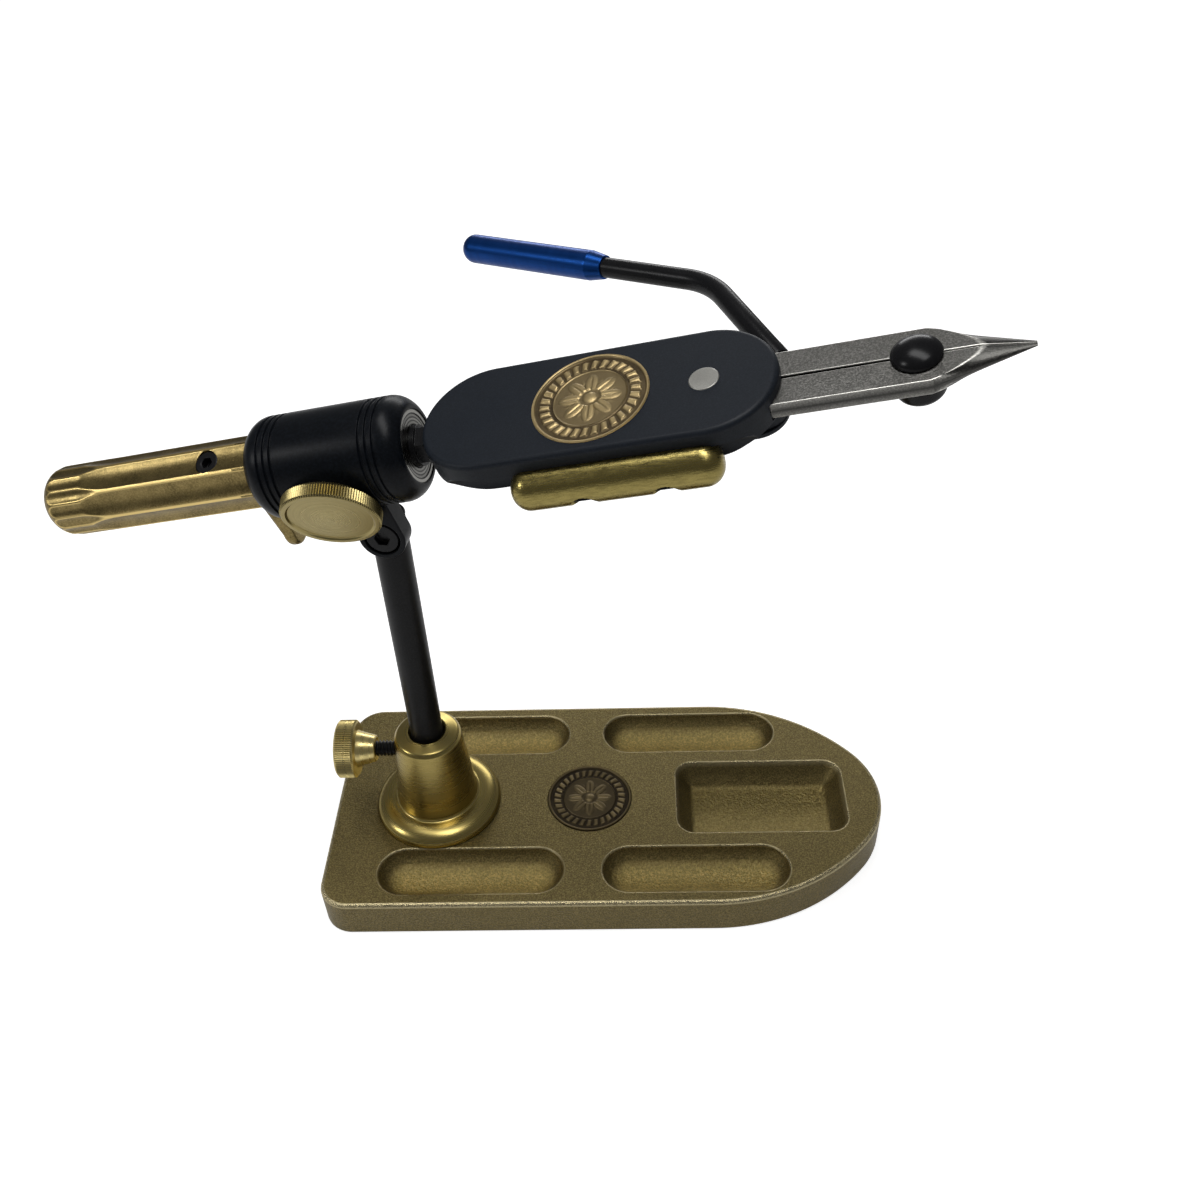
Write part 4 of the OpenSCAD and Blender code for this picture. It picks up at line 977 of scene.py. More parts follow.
def knurled(profile, place, rim_r, step):
    """Turned profile whose rim carries straight teeth: the radius drops by a triangle wave of the angle.

    No piece of the profile stays longer than step. Returns the shell and a mask, 1 between the teeth, where
    the material paints shade.
    """
    s = sizes()
    depth, tooth_columns = s.knurl_depth, 4
    teeth = round(TURN * rim_r / s.knurl_pitch)
    turn = around(teeth * tooth_columns)
    profile = divided(profile, step)
    x, radius = profile[:, :1], profile[:, 1:]
    wave = np.abs((turn / TURN * teeth) % 1 - 0.5) * 2
    near = np.clip((radius - rim_r + 2 * depth) / depth, 0, 1)
    valleys = near * wave[None]
    return skin(place.out(swept(x, radius - depth * valleys, turn))), (valleys ** 2).reshape(-1)


def thumb_screw():
    """Knurled thumb knob with a polished cone, and its threaded stud."""
    low, high = THUMB.span("thumb_knob")
    near, far, rim = low[0], high[0], high[1]
    cone_end = near + 0.491 * (far - near)
    crisp, soft = 0.1 * MM, 0.2 * MM
    chamfer_w, chamfer_l, recess = 0.7 * MM, 0.6 * MM, 0.4 * MM
    profile = eased([
        (near, 0, 0), (near, 0.45 * rim, 0.5 * MM), (cone_end - recess, 0.62 * rim, soft),
        (cone_end, 0.64 * rim, soft), (cone_end, rim - chamfer_w, crisp), (cone_end + chamfer_l, rim, crisp),
        (far - chamfer_l, rim, crisp), (far, rim - chamfer_w, 0.3 * MM), (far, rim * 0.55, soft),
        (far - recess, rim * 0.5, soft), (far - recess, 0, 0)], steps=4)
    metal = turned_metal("Bright brass thumb knob", colours().bright_brass, THUMB, low=0.26, high=0.36,
                         marks=0.08, shade_valleys=True)
    shell, mask = knurled(profile, THUMB, rim, step=1 * MM)
    piece("thumb_knob_turning", [shell], "thumb", ["thumb_knob"], metal, sharp=22, masks=[mask])
    low, high = THUMB.span("thumb_stud")
    threaded("thumb_thread", THUMB, low[0], near + 1 * MM, high[1], "thumb", "thumb_stud")


def threaded(name, place, start, end, radius, body, node):
    """Screw thread: the radius falls by a rounded wave of x / pitch - angle / turn, less at its start."""
    s = sizes()
    rows, columns = max(8, int((end - start) / s.thread_pitch * 12)), 48
    x, turn = np.linspace(start, end, rows)[:, None], around(columns)[None]
    wave = 0.5 + 0.5 * np.cos(TURN * (x / s.thread_pitch) - turn)
    fade = np.clip((x - start) / s.thread_pitch, 0, 1) * 0.5 + 0.5
    thread = swept(x, radius - s.thread_depth * wave ** 0.8 * fade, turn)
    first, last = [np.tile(point, (1, columns, 1)) for point in ((start, 0, 0), (end, 0, 0))]
    shell = skin(place.out(np.concatenate([first, thread, last])))
    piece(name, [shell], body, [node], black_oxide(), sharp=75)


def barrel():
    """Turned barrel with round shoulders, three fine grooves at each end, bearing seats, and its lug."""
    s = sizes()
    low, high = BARREL.span("barrel")
    radius, back, front = high[1], low[0], high[0]
    seat_r = BARREL.span("bearing_outer_rings")[1][1] + 0.01 * MM
    bore, bearing_inset, bearing_w = 7.2 * MM, 0.3 * MM, 6 * MM
    seat_end = bearing_inset + bearing_w
    groove, groove_pitch = 0.5 * MM, 1.8 * MM
    rear_grooves, front_grooves = -17.6 * MM, 9.9 * MM

    def grooves(middle):
        out = []
        for k in (-1, 0, 1):
            x = middle + k * groove_pitch
            out += [(x - groove, radius, 0.1 * MM), (x - groove * 0.6, radius - groove, 0.12 * MM),
                    (x + groove * 0.6, radius - groove, 0.12 * MM), (x + groove, radius, 0.1 * MM)]
        return out

    mouth = seat_r + 0.8 * MM
    lean = math.asin((s.shoulder_r - (radius - mouth)) / s.shoulder_r)
    run = s.shoulder_r * math.cos(lean)
    turn = np.linspace(lean, math.pi / 2, 12)
    arc = np.stack([s.shoulder_r * np.cos(turn), radius - s.shoulder_r + s.shoulder_r * np.sin(turn)], 1)
    rear = [(back + run - a, b, 0) for a, b in arc]
    ahead = [(front - run + a, b, 0) for a, b in arc[::-1]]
    profile = eased(
        [(back, seat_r, 0)] + rear + grooves(rear_grooves) + grooves(front_grooves) + ahead
        + [(front, seat_r, 0.2 * MM), (front - seat_end, seat_r, 0), (front - seat_end, bore, 0),
           (back + seat_end, bore, 0), (back + seat_end, seat_r, 0), (back, seat_r, 0)], steps=4)
    tube = turned(divided(profile, 4 * MM), BARREL, columns=144, ring=True)
    piece("barrel_turning", [tube] + barrel_lug(bore), "barrel", ["barrel"], black_barrel(),
          sharp=35)


def barrel_lug(bore):
    """Shells of the lug under the barrel: a round end on a neck, with a well for the pivot screw's washer.

    Its local x and y lie in the lug's face, and z points from its inner face to its outer one.
    """
    pivot = np.array(JOINTS["head_angle"]["pos_m"])
    place = Place(pivot, BARREL.axes[0], BARREL.axes[2])
    lug_r = 6.2 * MM
    neck, top = 0.8 * lug_r, BARREL.into(pivot)[2] * -1 - bore
    near, far = 0.15 * MM, sizes().lug_out
    well_r, well_z = place.span("pivot_washer")[1][0] + 0.12 * MM, near + 1 * MM

    def outline(offset):
        steps = np.radians(np.linspace(-180, 0, 40))
        low_half = (lug_r + offset) * np.stack([np.cos(steps), np.sin(steps)], 1)
        return np.concatenate([low_half, [[neck + offset, top], [-neck - offset, top]]])

    inset = -0.4 * MM
    lug = walled(outline, eased([(inset, far, 0), (0, far, 0.35 * MM), (0, near, 0.2 * MM),
                                 (inset, near, 0)], steps=3))
    seat = eased([(0.35 * MM, far, 0), (0, far, 0.3 * MM), (0, well_z, 0), (-1 * MM, well_z, 0)], steps=3)
    well = walled(lambda o: round_outline(o, (0, 0), well_r), seat)
    return [skin(place.out(lug)), skin(place.out(well)),
            flat([lug[0, :, :2], well[0, :, :2]], place, far),
            flat([well[-1, :, :2]], place, well_z), flat([lug[-1, :, :2]], place, near)]


def tension_knob():
    """Brass drag knob: straight knurled rim, polished lip and a face turned slightly hollow."""
    low, high = TENSION.span("tension_knob")
    near, far, rim = low[0], high[0], high[1]
    crisp, soft = 0.1 * MM, 0.25 * MM
    chamfer, lip, lip_foot, hollow = 0.55 * MM, 1.5 * MM, 1.9 * MM, 0.5 * MM
    profile = eased([
        (near, 0, 0), (near, rim - chamfer, 0.2 * MM), (near + chamfer, rim, crisp),
        (far - chamfer, rim, crisp), (far, rim - chamfer, soft), (far, rim - lip, 0.2 * MM),
        (far - hollow, rim - lip_foot, soft), (far - 0.7 * hollow, 0.2 * rim, 0),
        (far - 0.6 * hollow, 0, 0)], steps=5)
    metal = turned_metal("Bright brass drag knob", shade(colours().bright_brass, 0.52), TENSION, low=0.26,
                         high=0.34, marks=0.22, scale=16000.0, shade_valleys=True)
    shell, mask = knurled(profile, TENSION, rim, step=0.8 * MM)
    piece("tension_knob_turning", [shell], "tension", ["tension_knob"], metal, sharp=22,
          masks=[mask])


def fluted(turn, radius, number, cutter, depth):
    """Radius that a row of flutes leaves.

    A cutter of radius p whose axis lies c from the handle's leaves c cos a - sqrt(p^2 - c^2 sin^2 a) at the
    angle a from its middle; c grows where a flute runs out.
    """
    a = (turn + math.pi / number) % (TURN / number) - math.pi / number
    c = radius + cutter - depth
    inside = cutter ** 2 - (c * np.sin(a)) ** 2
    return np.where(inside > 0, c * np.cos(a) - np.sqrt(np.maximum(inside, 0)), 1.0)


def set_screw():
    """Place of the handle's set screw along the barrel's x, and its angle about it, midway in a flute."""
    x, y, z = BARREL.into(np.array(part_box("handle_set_screw")).mean(0))
    return x, math.atan2(z, y)


def handle():
    """Fluted handle: the radius over (x, angle) is the turned one or that of the flutes, if that is less.

    The broad flutes run out towards the rear, where narrow ones start. The profile is finer beside the screw.
    """
    s = sizes()
    low, high = BARREL.span("handle")
    back, front, radius = low[0] + 0.03 * MM, high[0], high[1]
    screw_x, middle = set_screw()
    outline = eased([(back, 0, 0), (back, radius, s.dome), (front, radius, 0), (front, 0, 0)], steps=12)
    profile = divided(outline, 0.55 * MM)
    beside = np.arange(-4, 4, 0.14)[:, None] * MM
    fine = beside * [1, 0] + [screw_x, radius]
    far = np.abs(profile[:, 0] - screw_x) > 4.1 * MM
    before, after = far & (profile[:, 0] < screw_x), far & (profile[:, 0] > screw_x)
    profile = np.concatenate([profile[before], fine, profile[after]])
    turn = around(HANDLE_COLUMNS)
    x, turned_r = profile[:, :1], profile[:, 1:]
    share = (front - x) / (front - back)

    def cut(number, cutter, depth, fade):
        return fluted(turn - middle, radius, number, cutter, depth * fade)

    broad_end, broad_run, rear_start, rear_run = 0.8, 0.2, 0.68, 0.1
    fade = np.clip((broad_end - share) / broad_run, 0, 1)
    broad = cut(s.flutes, s.flute_r, s.flute_depth, 1 - (1 - fade) ** 2)
    rear_fade = np.clip((share - rear_start) / rear_run, 0, 1)
    narrow = cut(2 * s.flutes, s.flute_r / 2, s.rear_flute_depth, rear_fade)
    least = np.minimum(broad, narrow)
    # Painted highlight: the mask is 1 in a thin line where a flute meets the ridge beside it
    edge = np.clip(1 - np.abs(least - turned_r) / BRIGHT_LINE, 0, 1) * (turned_r > 0.6 * radius)
    screw_low, screw_high = BARREL.span("handle_set_screw")
    screw_r = (screw_high[0] - screw_low[0]) / 2 + 0.05 * MM
    direction = (math.cos(middle), math.sin(middle))
    shell = pocketed(swept(x, np.minimum(turned_r, least), turn), BARREL,
                     [(screw_x, direction, screw_r, 0.45 * radius)])
    piece("handle_fluted", [shell], "spindle", ["handle"], handle_metal(), sharp=50,
          masks=[np.clip(edge, 0, 1).reshape(-1)])


def crank_arm():
    """Crank arm with well rounded edges and a hub that carries on the handle's flutes.

    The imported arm's own hub shrinks to a share of its radius, and a fluted ring takes its place.
    """
    s = sizes()
    hub_share, hard_edge, bore_share = 0.8, math.radians(40), 0.75
    radius = BARREL.span("handle")[1][1]
    mesh = merged("crank_arm")
    work = bmesh.new()
    work.from_mesh(mesh)
    weight = work.edges.layers.float.new("bevel_weight_edge")
    local = BARREL.into(np.array([v.co[:] for v in work.verts]))
    spread = np.hypot(local[:, 1], local[:, 2])
    outer = spread > bore_share * radius
    for edge in work.edges:
        hard = edge.calc_face_angle(0.0) > hard_edge
        edge[weight] = 1.0 if hard and all(outer[v.index] for v in edge.verts) else 0.0
    start, end = local[outer, 0].min(), local[outer, 0].max() + 0.05 * MM
    local[outer & (spread < 1.02 * radius), 1:] *= hub_share
    for vert, place in zip(work.verts, BARREL.out(local)):
        vert.co = place
    turn = around(HANDLE_COLUMNS)
    rim = np.minimum(radius, fluted(turn - set_screw()[1], radius, s.flutes, s.flute_r, s.flute_depth))
    bore = BARREL.span("main_shaft")[1][1] + 0.05 * MM + 0 * turn
    rows = [swept(x, r, turn) for x, r in ((start, bore), (start, rim), (end, rim), (end, bore))]
    points, faces = skin(BARREL.out(np.array(rows)), ring=True)
    # Painted highlight along the ridges between the hub's flutes, as on the handle
    land_highlight = np.clip(1 - np.abs(rim - radius) / BRIGHT_LINE, 0, 1) * (rim < radius)
    mask = work.verts.layers.float.new("mask")
    verts = [work.verts.new(point) for point in points]
    for vert, value in zip(verts, np.concatenate([0 * turn, land_highlight, land_highlight, 0 * turn])):
        vert[mask] = value
    for face in faces:
        work.faces.new([verts[i] for i in face])
    bmesh.ops.recalc_face_normals(work, faces=work.faces)
    work.to_mesh(mesh)
    work.free()
    obj = shown("crank_arm_rounded", mesh, "spindle", ["crank_arm"], handle_metal(),
                HARD_ANGLE)
    bevel = obj.modifiers.new("Rounded edges", "BEVEL")
    bevel.width = s.crank_edge
    bevel.segments = 5
    bevel.limit_method = "WEIGHT"
    bevel.harden_normals = True


def weight_bar():
    """Turned brass bar with two round ends and a deep seat for each of its screws.

    It is a little thicker and higher than the solid, as the photograph shows it.
    """
    thicker, higher = 0.35 * MM, 0.45 * MM
    low, high = HEAD.span("weight_bar")
    centre = (low + high) / 2 + np.array([0, 0, higher])
    radius, half = (high[2] - low[2]) / 2 + thicker, (high[0] - low[0]) / 2
    slant = math.radians(46)
    down = np.array([0, math.sin(slant), math.cos(slant)]) @ HEAD.axes
    place = Place(HEAD.out(centre), HEAD.axes[0], np.cross(down, HEAD.axes[0]))
    screw_low, screw_high = place.span("weight_bar_screws")
    cap_r = (screw_high[1] - screw_low[1]) / 2
    end_r = 0.86 * radius
    outline = eased([(-half, 0, 0), (-half, radius, end_r), (half, radius, end_r), (half, 0, 0)], steps=12)
    profile = divided(outline, 0.2 * MM)
    local = swept(profile[:, :1], profile[:, 1:], around(216))
    pockets = [(x, (0, -1), cap_r + 0.05 * MM, 0.2 * radius)
               for x in (screw_low[0] + cap_r, screw_high[0] - cap_r)]
    metal = brushed_metal("Brushed brass bar", colours().satin_brass, HEAD, low=0.2, high=0.34)
    piece("weight_bar_turned", [pocketed(local, place, pockets)], "spindle", ["weight_bar"],
          metal, sharp=50)


def lever():
    """Lever rod swept along a straight, an arc and a straight, and its turned blue grip."""
    s, c = sizes(), colours()
    foot = HEAD.into(np.array(JOINTS["lever_cam"]["pos_m"])) + np.array([s.rod_x, s.rod_y, 0])
    steep = np.array([math.cos(s.steep_dir), math.sin(s.steep_dir)])
    side = np.array([-steep[1], steep[0]])
    in_grip = 4 * MM
    bend = np.linspace(0, s.rod_bend, 25)
    centre = foot[:2] + steep * s.rod_steep + side * s.rod_bend_r
    arc = centre - s.rod_bend_r * (side * np.cos(bend)[:, None] - steep * np.sin(bend)[:, None])
    shallow = steep * math.cos(s.rod_bend) + side * math.sin(s.rod_bend)
    path = np.concatenate([[foot[:2]], [foot[:2] + steep * s.rod_steep * 0.98], arc,
                           [arc[-1] + shallow * (s.rod_shallow + in_grip)]])
    along = np.concatenate([[steep, steep],
                            steep * np.cos(bend)[:, None] + side * np.sin(bend)[:, None], [shallow]])
    across = np.stack([-along[:, 1], along[:, 0]], 1)
    foot_rounding = [(0, 0.0), (0, 0.75), (0.1, 0.93), (0.3, 1.0)]
    rows = [(path[0] + steep * ahead * s.rod_r, across[0], share) for ahead, share in foot_rounding]
    rows += [(p, a, 1.0) for p, a in zip(path[1:], across[1:])]
    rows.append((path[-1], across[-1], 0.0))
    turn = around(48)
    local = [np.column_stack([p + a * np.cos(turn)[:, None] * share * s.rod_r,
                              foot[2] + np.sin(turn) * share * s.rod_r]) for p, a, share in rows]
    metal = grained_metal("Black lever rod", c.black_oxide, low=0.24, high=0.34, grit=0.2, scale=1500.0,
                          metallic=0.0, lift=2.2, sheen=0.2)
    piece("lever_rod_bent", [skin(HEAD.out(np.array(local)))], "lever", ["lever_rod"], metal)
    origin = HEAD.out([*(arc[-1] + shallow * s.rod_shallow), foot[2]])
    place = Place(origin, np.array([*shallow, 0]) @ HEAD.axes, HEAD.axes[2])
    profile = eased([
        (0, 0, 0), (0, s.rod_r + 0.45 * MM, 0.2 * MM), (s.grip_taper, s.grip_r, 1.5 * MM),
        (s.grip_len, s.grip_r, 0.9 * s.grip_r), (s.grip_len, 0, 0)], steps=10)
    blue = turned_metal("Blue anodised grip", c.blue_anodise, place, low=0.3, high=0.38, marks=0.15,
                        metallic=0.85)
    piece("lever_grip_turning", [turned(divided(profile, 3 * MM), place)], "lever", ["lever_grip"],
          blue)


def jaw_button():
    """Two glossy domes on a shank through the jaws, one over them and one under them."""
    low, high = HEAD.span("jaw_button")
    jaw_low, jaw_high = HEAD.span("near_jaw")
    middle, radius = (low + high) / 2, (high[0] - low[0]) / 2
    place = Place(HEAD.out((middle[0], middle[1], 0)), HEAD.axes[2], HEAD.axes[0])
    gap, shank_r, soft = 0.1 * MM, 2.2 * MM, 0.25 * MM
    turn = np.radians(np.linspace(0, 84, 16))
    over, under = jaw_high[2] + gap, jaw_low[2] - gap
    dome = high[2] - over
    cap = np.stack([over + dome * np.cos(turn), radius * np.sin(turn)], 1)
    cup = np.stack([low[2] + dome - dome * np.cos(turn), radius * np.sin(turn)], 1)[::-1]
    rim = np.array([[over, radius - 0.2 * MM], [over, shank_r], [under, shank_r], [under, radius - soft],
                    [under - soft, radius], [low[2] + dome + 0.2 * MM, radius]])
    metal = grained_metal("Glossy black button", colours().black_oxide, low=0.2, high=0.28, grit=0.1,
                          scale=900.0, metallic=0.0, lift=1.6, sheen=0.2)
    shell = turned(np.concatenate([cap, rim, cup]), place, columns=72)
    piece("jaw_button_domed", [shell], body_of("jaw_button"), ["jaw_button"], metal)


def jaws():
    """Flat jaws with ground tips, each a loft of sections along the head's x from inside the head.

    Each section is the plan's half width w by a half height of least(h, H sqrt(1 - (y / w)^2)), its edges
    rounded off. H falls from very much at the shoulder to the half thickness h midway down the taper, then
    to a fine tip, so the flat closes in a curve and the sides round off.
    """
    s = sizes()
    metal = blasted_steel()
    low, high = HEAD.span("far_jaw")
    half_t, middle = (high[2] - low[2]) / 2, (high[2] + low[2]) / 2
    hidden, tip_short, least_t = 3 * MM, 0.08 * MM, 0.04 * MM
    start = HEAD.span("head_cover")[1][0] - hidden
    tip, half_w = high[0] - tip_short, high[1]
    shoulder = tip - s.jaw_taper
    button = HEAD.span("jaw_button")[0][0]
    flat_rows, tip_rows, columns = 30, 72, 48
    x = np.concatenate([np.linspace(start, shoulder - 2 * MM, flat_rows),
                        np.linspace(shoulder - 1.6 * MM, tip, tip_rows)])
    t = np.clip((x - shoulder) / s.jaw_taper, 0, 1)
    width = half_w + (s.jaw_tip - half_w) * t
    slit = s.jaw_slit * np.array([1.3, 1, 0.4, 0.15])
    inner = np.interp(x, [start, button, shoulder + 0.5 * s.jaw_taper, tip], slit)
    midway, tip_fall, flat_end = 0.5, 0.88, 0.004
    rise = half_t * np.where(t < midway, midway / np.maximum(t, flat_end),
                             1 - tip_fall * (t - midway) / (1 - midway))
    share = 0.5 - 0.5 * np.cos(np.linspace(0, math.pi, columns))
    y = inner[:, None] + (width - inner)[:, None] * share[None]
    from_slit, from_side = y - inner[:, None], width[:, None] - y
    ease = np.minimum(s.jaw_edge, 0.3 * (width - inner))[:, None]

    def drop(distance):
        """How far a quarter round of radius ease has fallen at a distance from its wall."""
        return ease - np.sqrt(np.maximum(ease ** 2 - np.maximum(ease - distance, 0) ** 2, 0))

    flat_z = half_t - drop(from_slit) - drop(from_side)
    ground = rise[:, None] * np.sqrt(np.clip(1 - (y / width[:, None]) ** 2, 0, 1)) - 0.5 * drop(from_slit)
    z = np.maximum(np.minimum(flat_z, ground), least_t)
    top, under = [np.stack([x[:, None] + 0 * y, y, middle + side * z], -1) for side in (1, -1)]
    loops = np.concatenate([top, under[:, ::-1]], 1)

    def line(distance):
        """1 midway round the edge at a distance from its wall, 0 at both of its ends."""
        near = np.clip(1 - distance / s.jaw_edge, 0, 1)
        return 4 * near * (1 - near)

    # Painted highlight lines along the side edge and the slit, and on the ridge where the flat meets the
    # ground tip
    ridge = np.clip(1 - np.abs(flat_z - ground) / BRIGHT_LINE, 0, 1) * (t[:, None] > 0.02)
    mask = np.maximum.reduce([line(from_side) * (z > 0.5 * half_t), ridge,
                              line(from_slit) * np.clip(t[:, None] / 0.2, 0.35, 1)])
    # Painted shade on the ground tips and on both walls
    ground_shade, wall_shade = -0.75, -1
    mask = mask + ground_shade * (ground < flat_z - BRIGHT_LINE)
    mask[:, [0, -1]] = wall_shade
    mask = np.concatenate([mask, mask[:, ::-1]], 1)
    for node, side in (("far_jaw", 1), ("near_jaw", -1)):
        local = loops * np.array([1, side, 1])
        ends = []
        for row in (local[0], local[-1]):
            faces = np.array(tessellate_polygon([[Vector((a, b, 0)) for a, b in row[:, 1:]]]))
            ends.append((HEAD.out(row), faces))
        rest = ends + [shank(node, start + 0.5 * MM)]
        masks = [mask.reshape(-1)] + [np.zeros(len(points)) for points, faces in rest]
        piece(node + "_ground", [skin(HEAD.out(local))] + rest, body_of(node), [node],
              metal, sharp=40, masks=masks)


def shank(node, end):
    """Merged copy of a packed jaw's hidden part, cut off square inside the head and closed there."""
    work = bmesh.new()
    work.from_mesh(frame["nodes"][node].data)
    bmesh.ops.remove_doubles(work, verts=work.verts, dist=CAD_WELD)
    bmesh.ops.bisect_plane(work, geom=work.verts[:] + work.edges[:] + work.faces[:], dist=1e-7,
                           plane_co=HEAD.out((end, 0, 0)), plane_no=HEAD.axes[0], clear_outer=True)
    bmesh.ops.holes_fill(work, edges=[e for e in work.edges if e.is_boundary], sides=0)
    bmesh.ops.triangulate(work, faces=work.faces)
    points = np.array([v.co[:] for v in work.verts])
    work.verts.index_update()
    faces = np.array([[v.index for v in f.verts] for f in work.faces])
    work.free()
    return points, faces


def machined_parts():
    """Machined steel and aluminium pieces with their edges eased and their own finishes."""
    c = colours()
    head = grained_metal("Black head coat", c.black_coat, low=0.42, high=0.5, grit=0.22, scale=1700.0,
                         metallic=0.0, lift=2.2, sheen=0.22)
    black = black_oxide()
    stem = grained_metal("Black stem", c.black_oxide, low=0.28, high=0.4, grit=0.2, scale=1200.0,
                         metallic=0.0, lift=2.4, sheen=0.18)
    steel = ringed_metal("Bearing steel", c.bright_steel, BARREL, spacing=1.25 * MM)
    pin = grained_metal("Satin pin steel", shade(c.bright_steel, 1.4), low=0.36, high=0.46, grit=0.4,
                        scale=2500.0)
    cage = grained_metal("Pressed cage brass", c.satin_brass, low=0.3, high=0.4, grit=0.2)
    shield = ringed_metal("Bearing shield", shade(c.bright_steel, 0.7), BARREL, spacing=0.85 * MM)
    nylon = grained_metal("Natural nylon", c.nylon, low=0.45, high=0.6, grit=0.1, scale=900.0, metallic=0.0,
                          lift=1.05)
    eased_nodes = [
        (head, 0.3 * MM, ["head_body", "head_cover"]),
        (stem, 0.25 * MM, ["stem"]),
        (black, 0.2 * MM, ["pivot_screw", "pivot_washer", "shaft_nut", "handle_set_screw",
                           "weight_bar_screws", "lever_cam", "ring_nut"]),
        (steel, 0.12 * MM, ["bearing_outer_rings", "bearing_inner_rings"]),
        (pin, 0.2 * MM, ["jaw_pivot_pin"]),
    ]
    for material, edge, nodes in eased_nodes:
        for node in nodes:
            machined(node, material, edge)
    kept_nodes = [
        (black, ["cover_screws", "shaft_lock_screw", "tension_stud"]),
        (shield, ["bearing_shields"]),
        (steel, ["bearing_balls", "bearing_spacer", "main_shaft"]),
        (cage, ["bearing_cages"]),
        (pin, ["cam_pin", "jaw_springs"]),
        (nylon, ["drag_plug"]),
    ]
    for material, nodes in kept_nodes:
        for node in nodes:
            for slot in frame["nodes"][node].material_slots:
                slot.link = "OBJECT"
                slot.material = material


# Stage

PHOTO = 1200
FOCAL_PIXELS = 1206.97
SENSOR = 36.0
CAMERA_PLACE = (0.0110, -0.2458, 0.3054)
CAMERA_YAW, CAMERA_PITCH, CAMERA_ROLL = -0.04263, 0.70906, -0.04694

# How bright the floor and the world show to the camera, how much of it mirrors show, and the world's light
WHITE = (1, 1, 1, 1)
FLOOR_HALF, FLOOR_GREY = 4.0, (0.8, 0.8, 0.8, 1)
FLOOR_SEEN, FLOOR_MIRRORED = 0.75, 0.25
WORLD_SEEN, WORLD_LIGHT, WORLD_MIRRORED = 0.92, 0.08, 0.04

# Each lamp's name, place, width and depth, and power
LAMP_AIM = (0, 0, 0.08)
LAMPS = (
    ("Top lamp", (-0.05, -0.05, 1.2), (1.0, 0.36), 6.8),
    ("Far lamp", (0.1, 1.3, 0.55), (0.9, 0.3), 3.8),
    ("Left lamp", (-1.0, -0.3, 0.7), (0.2, 0.3), 1.8),
)


def camera():
    """Camera at the photograph's place, solved from the base's outline and the stem."""
    yaw, pitch, roll = CAMERA_YAW, CAMERA_PITCH, CAMERA_ROLL
    ahead = Vector((math.sin(yaw) * math.cos(pitch), math.cos(yaw) * math.cos(pitch), -math.sin(pitch)))
    level = Vector((math.cos(yaw), -math.sin(yaw), 0))
    upright = level.cross(ahead)
    right = level * math.cos(roll) + upright * math.sin(roll)
    up = upright * math.cos(roll) - level * math.sin(roll)
    data = bpy.data.cameras.new("Camera")
    data.sensor_width = SENSOR
    data.lens = SENSOR * FOCAL_PIXELS / PHOTO
    data.clip_start = 0.01
    obj = bpy.data.objects.new("Camera", data)
    bpy.context.scene.collection.objects.link(obj)
    turn = Matrix((right, up, -ahead)).transposed().to_4x4()
    obj.matrix_world = Matrix.Translation(Vector(CAMERA_PLACE)) @ turn
    bpy.context.scene.camera = obj


def mirrored_rays(tree, path):
    """1 for the rays that metal mirrors or glass lets through."""
    return maths(tree, "MAXIMUM", path.outputs["Is Glossy Ray"], path.outputs["Is Transmission Ray"])


def seen_white(tree, strength, mirrored):
    """White emission that camera rays see, and mirrored rays at a share of it."""
    path = tree.nodes.new("ShaderNodeLightPath")
    mirror = maths(tree, "MULTIPLY", mirrored_rays(tree, path), mirrored)
    seen = maths(tree, "ADD", path.outputs["Is Camera Ray"], mirror)
    glow = tree.nodes.new("ShaderNodeEmission")
    glow.inputs["Color"].default_value = WHITE
    tree.links.new(maths(tree, "MULTIPLY", seen, strength), glow.inputs["Strength"])
    return glow.outputs[0]


def floor():
    """Wide pale table top that keeps a soft shadow."""
    half = FLOOR_HALF
    mesh = bpy.data.meshes.new("floor")
    mesh.from_pydata([(-half, -half, 0), (half, -half, 0), (half, half, 0), (-half, half, 0)], [],
                     [(0, 1, 2, 3)])
    material = bpy.data.materials.new("Pale table")
    material.use_nodes = True
    tree = material.node_tree
    tree.nodes.clear()
    diffuse = tree.nodes.new("ShaderNodeBsdfDiffuse")
    diffuse.inputs["Color"].default_value = FLOOR_GREY
    add = tree.nodes.new("ShaderNodeAddShader")
    out = tree.nodes.new("ShaderNodeOutputMaterial")
    tree.links.new(diffuse.outputs[0], add.inputs[0])
    tree.links.new(seen_white(tree, FLOOR_SEEN, FLOOR_MIRRORED), add.inputs[1])
    tree.links.new(add.outputs[0], out.inputs["Surface"])
    mesh.materials.append(material)
    obj = bpy.data.objects.new("floor", mesh)
    bpy.context.scene.collection.objects.link(obj)


def lamp(name, place, size, power):
    """A soft rectangular lamp that faces the vise."""
    data = bpy.data.lights.new(name, "AREA")
    data.shape = "RECTANGLE"
    data.size, data.size_y = size
    data.energy = power
    obj = bpy.data.objects.new(name, data)
    bpy.context.scene.collection.objects.link(obj)
    away = Vector(place) - Vector(LAMP_AIM)
    obj.matrix_world = Matrix.Translation(Vector(place)) @ away.to_track_quat("Z", "Y").to_matrix().to_4x4()


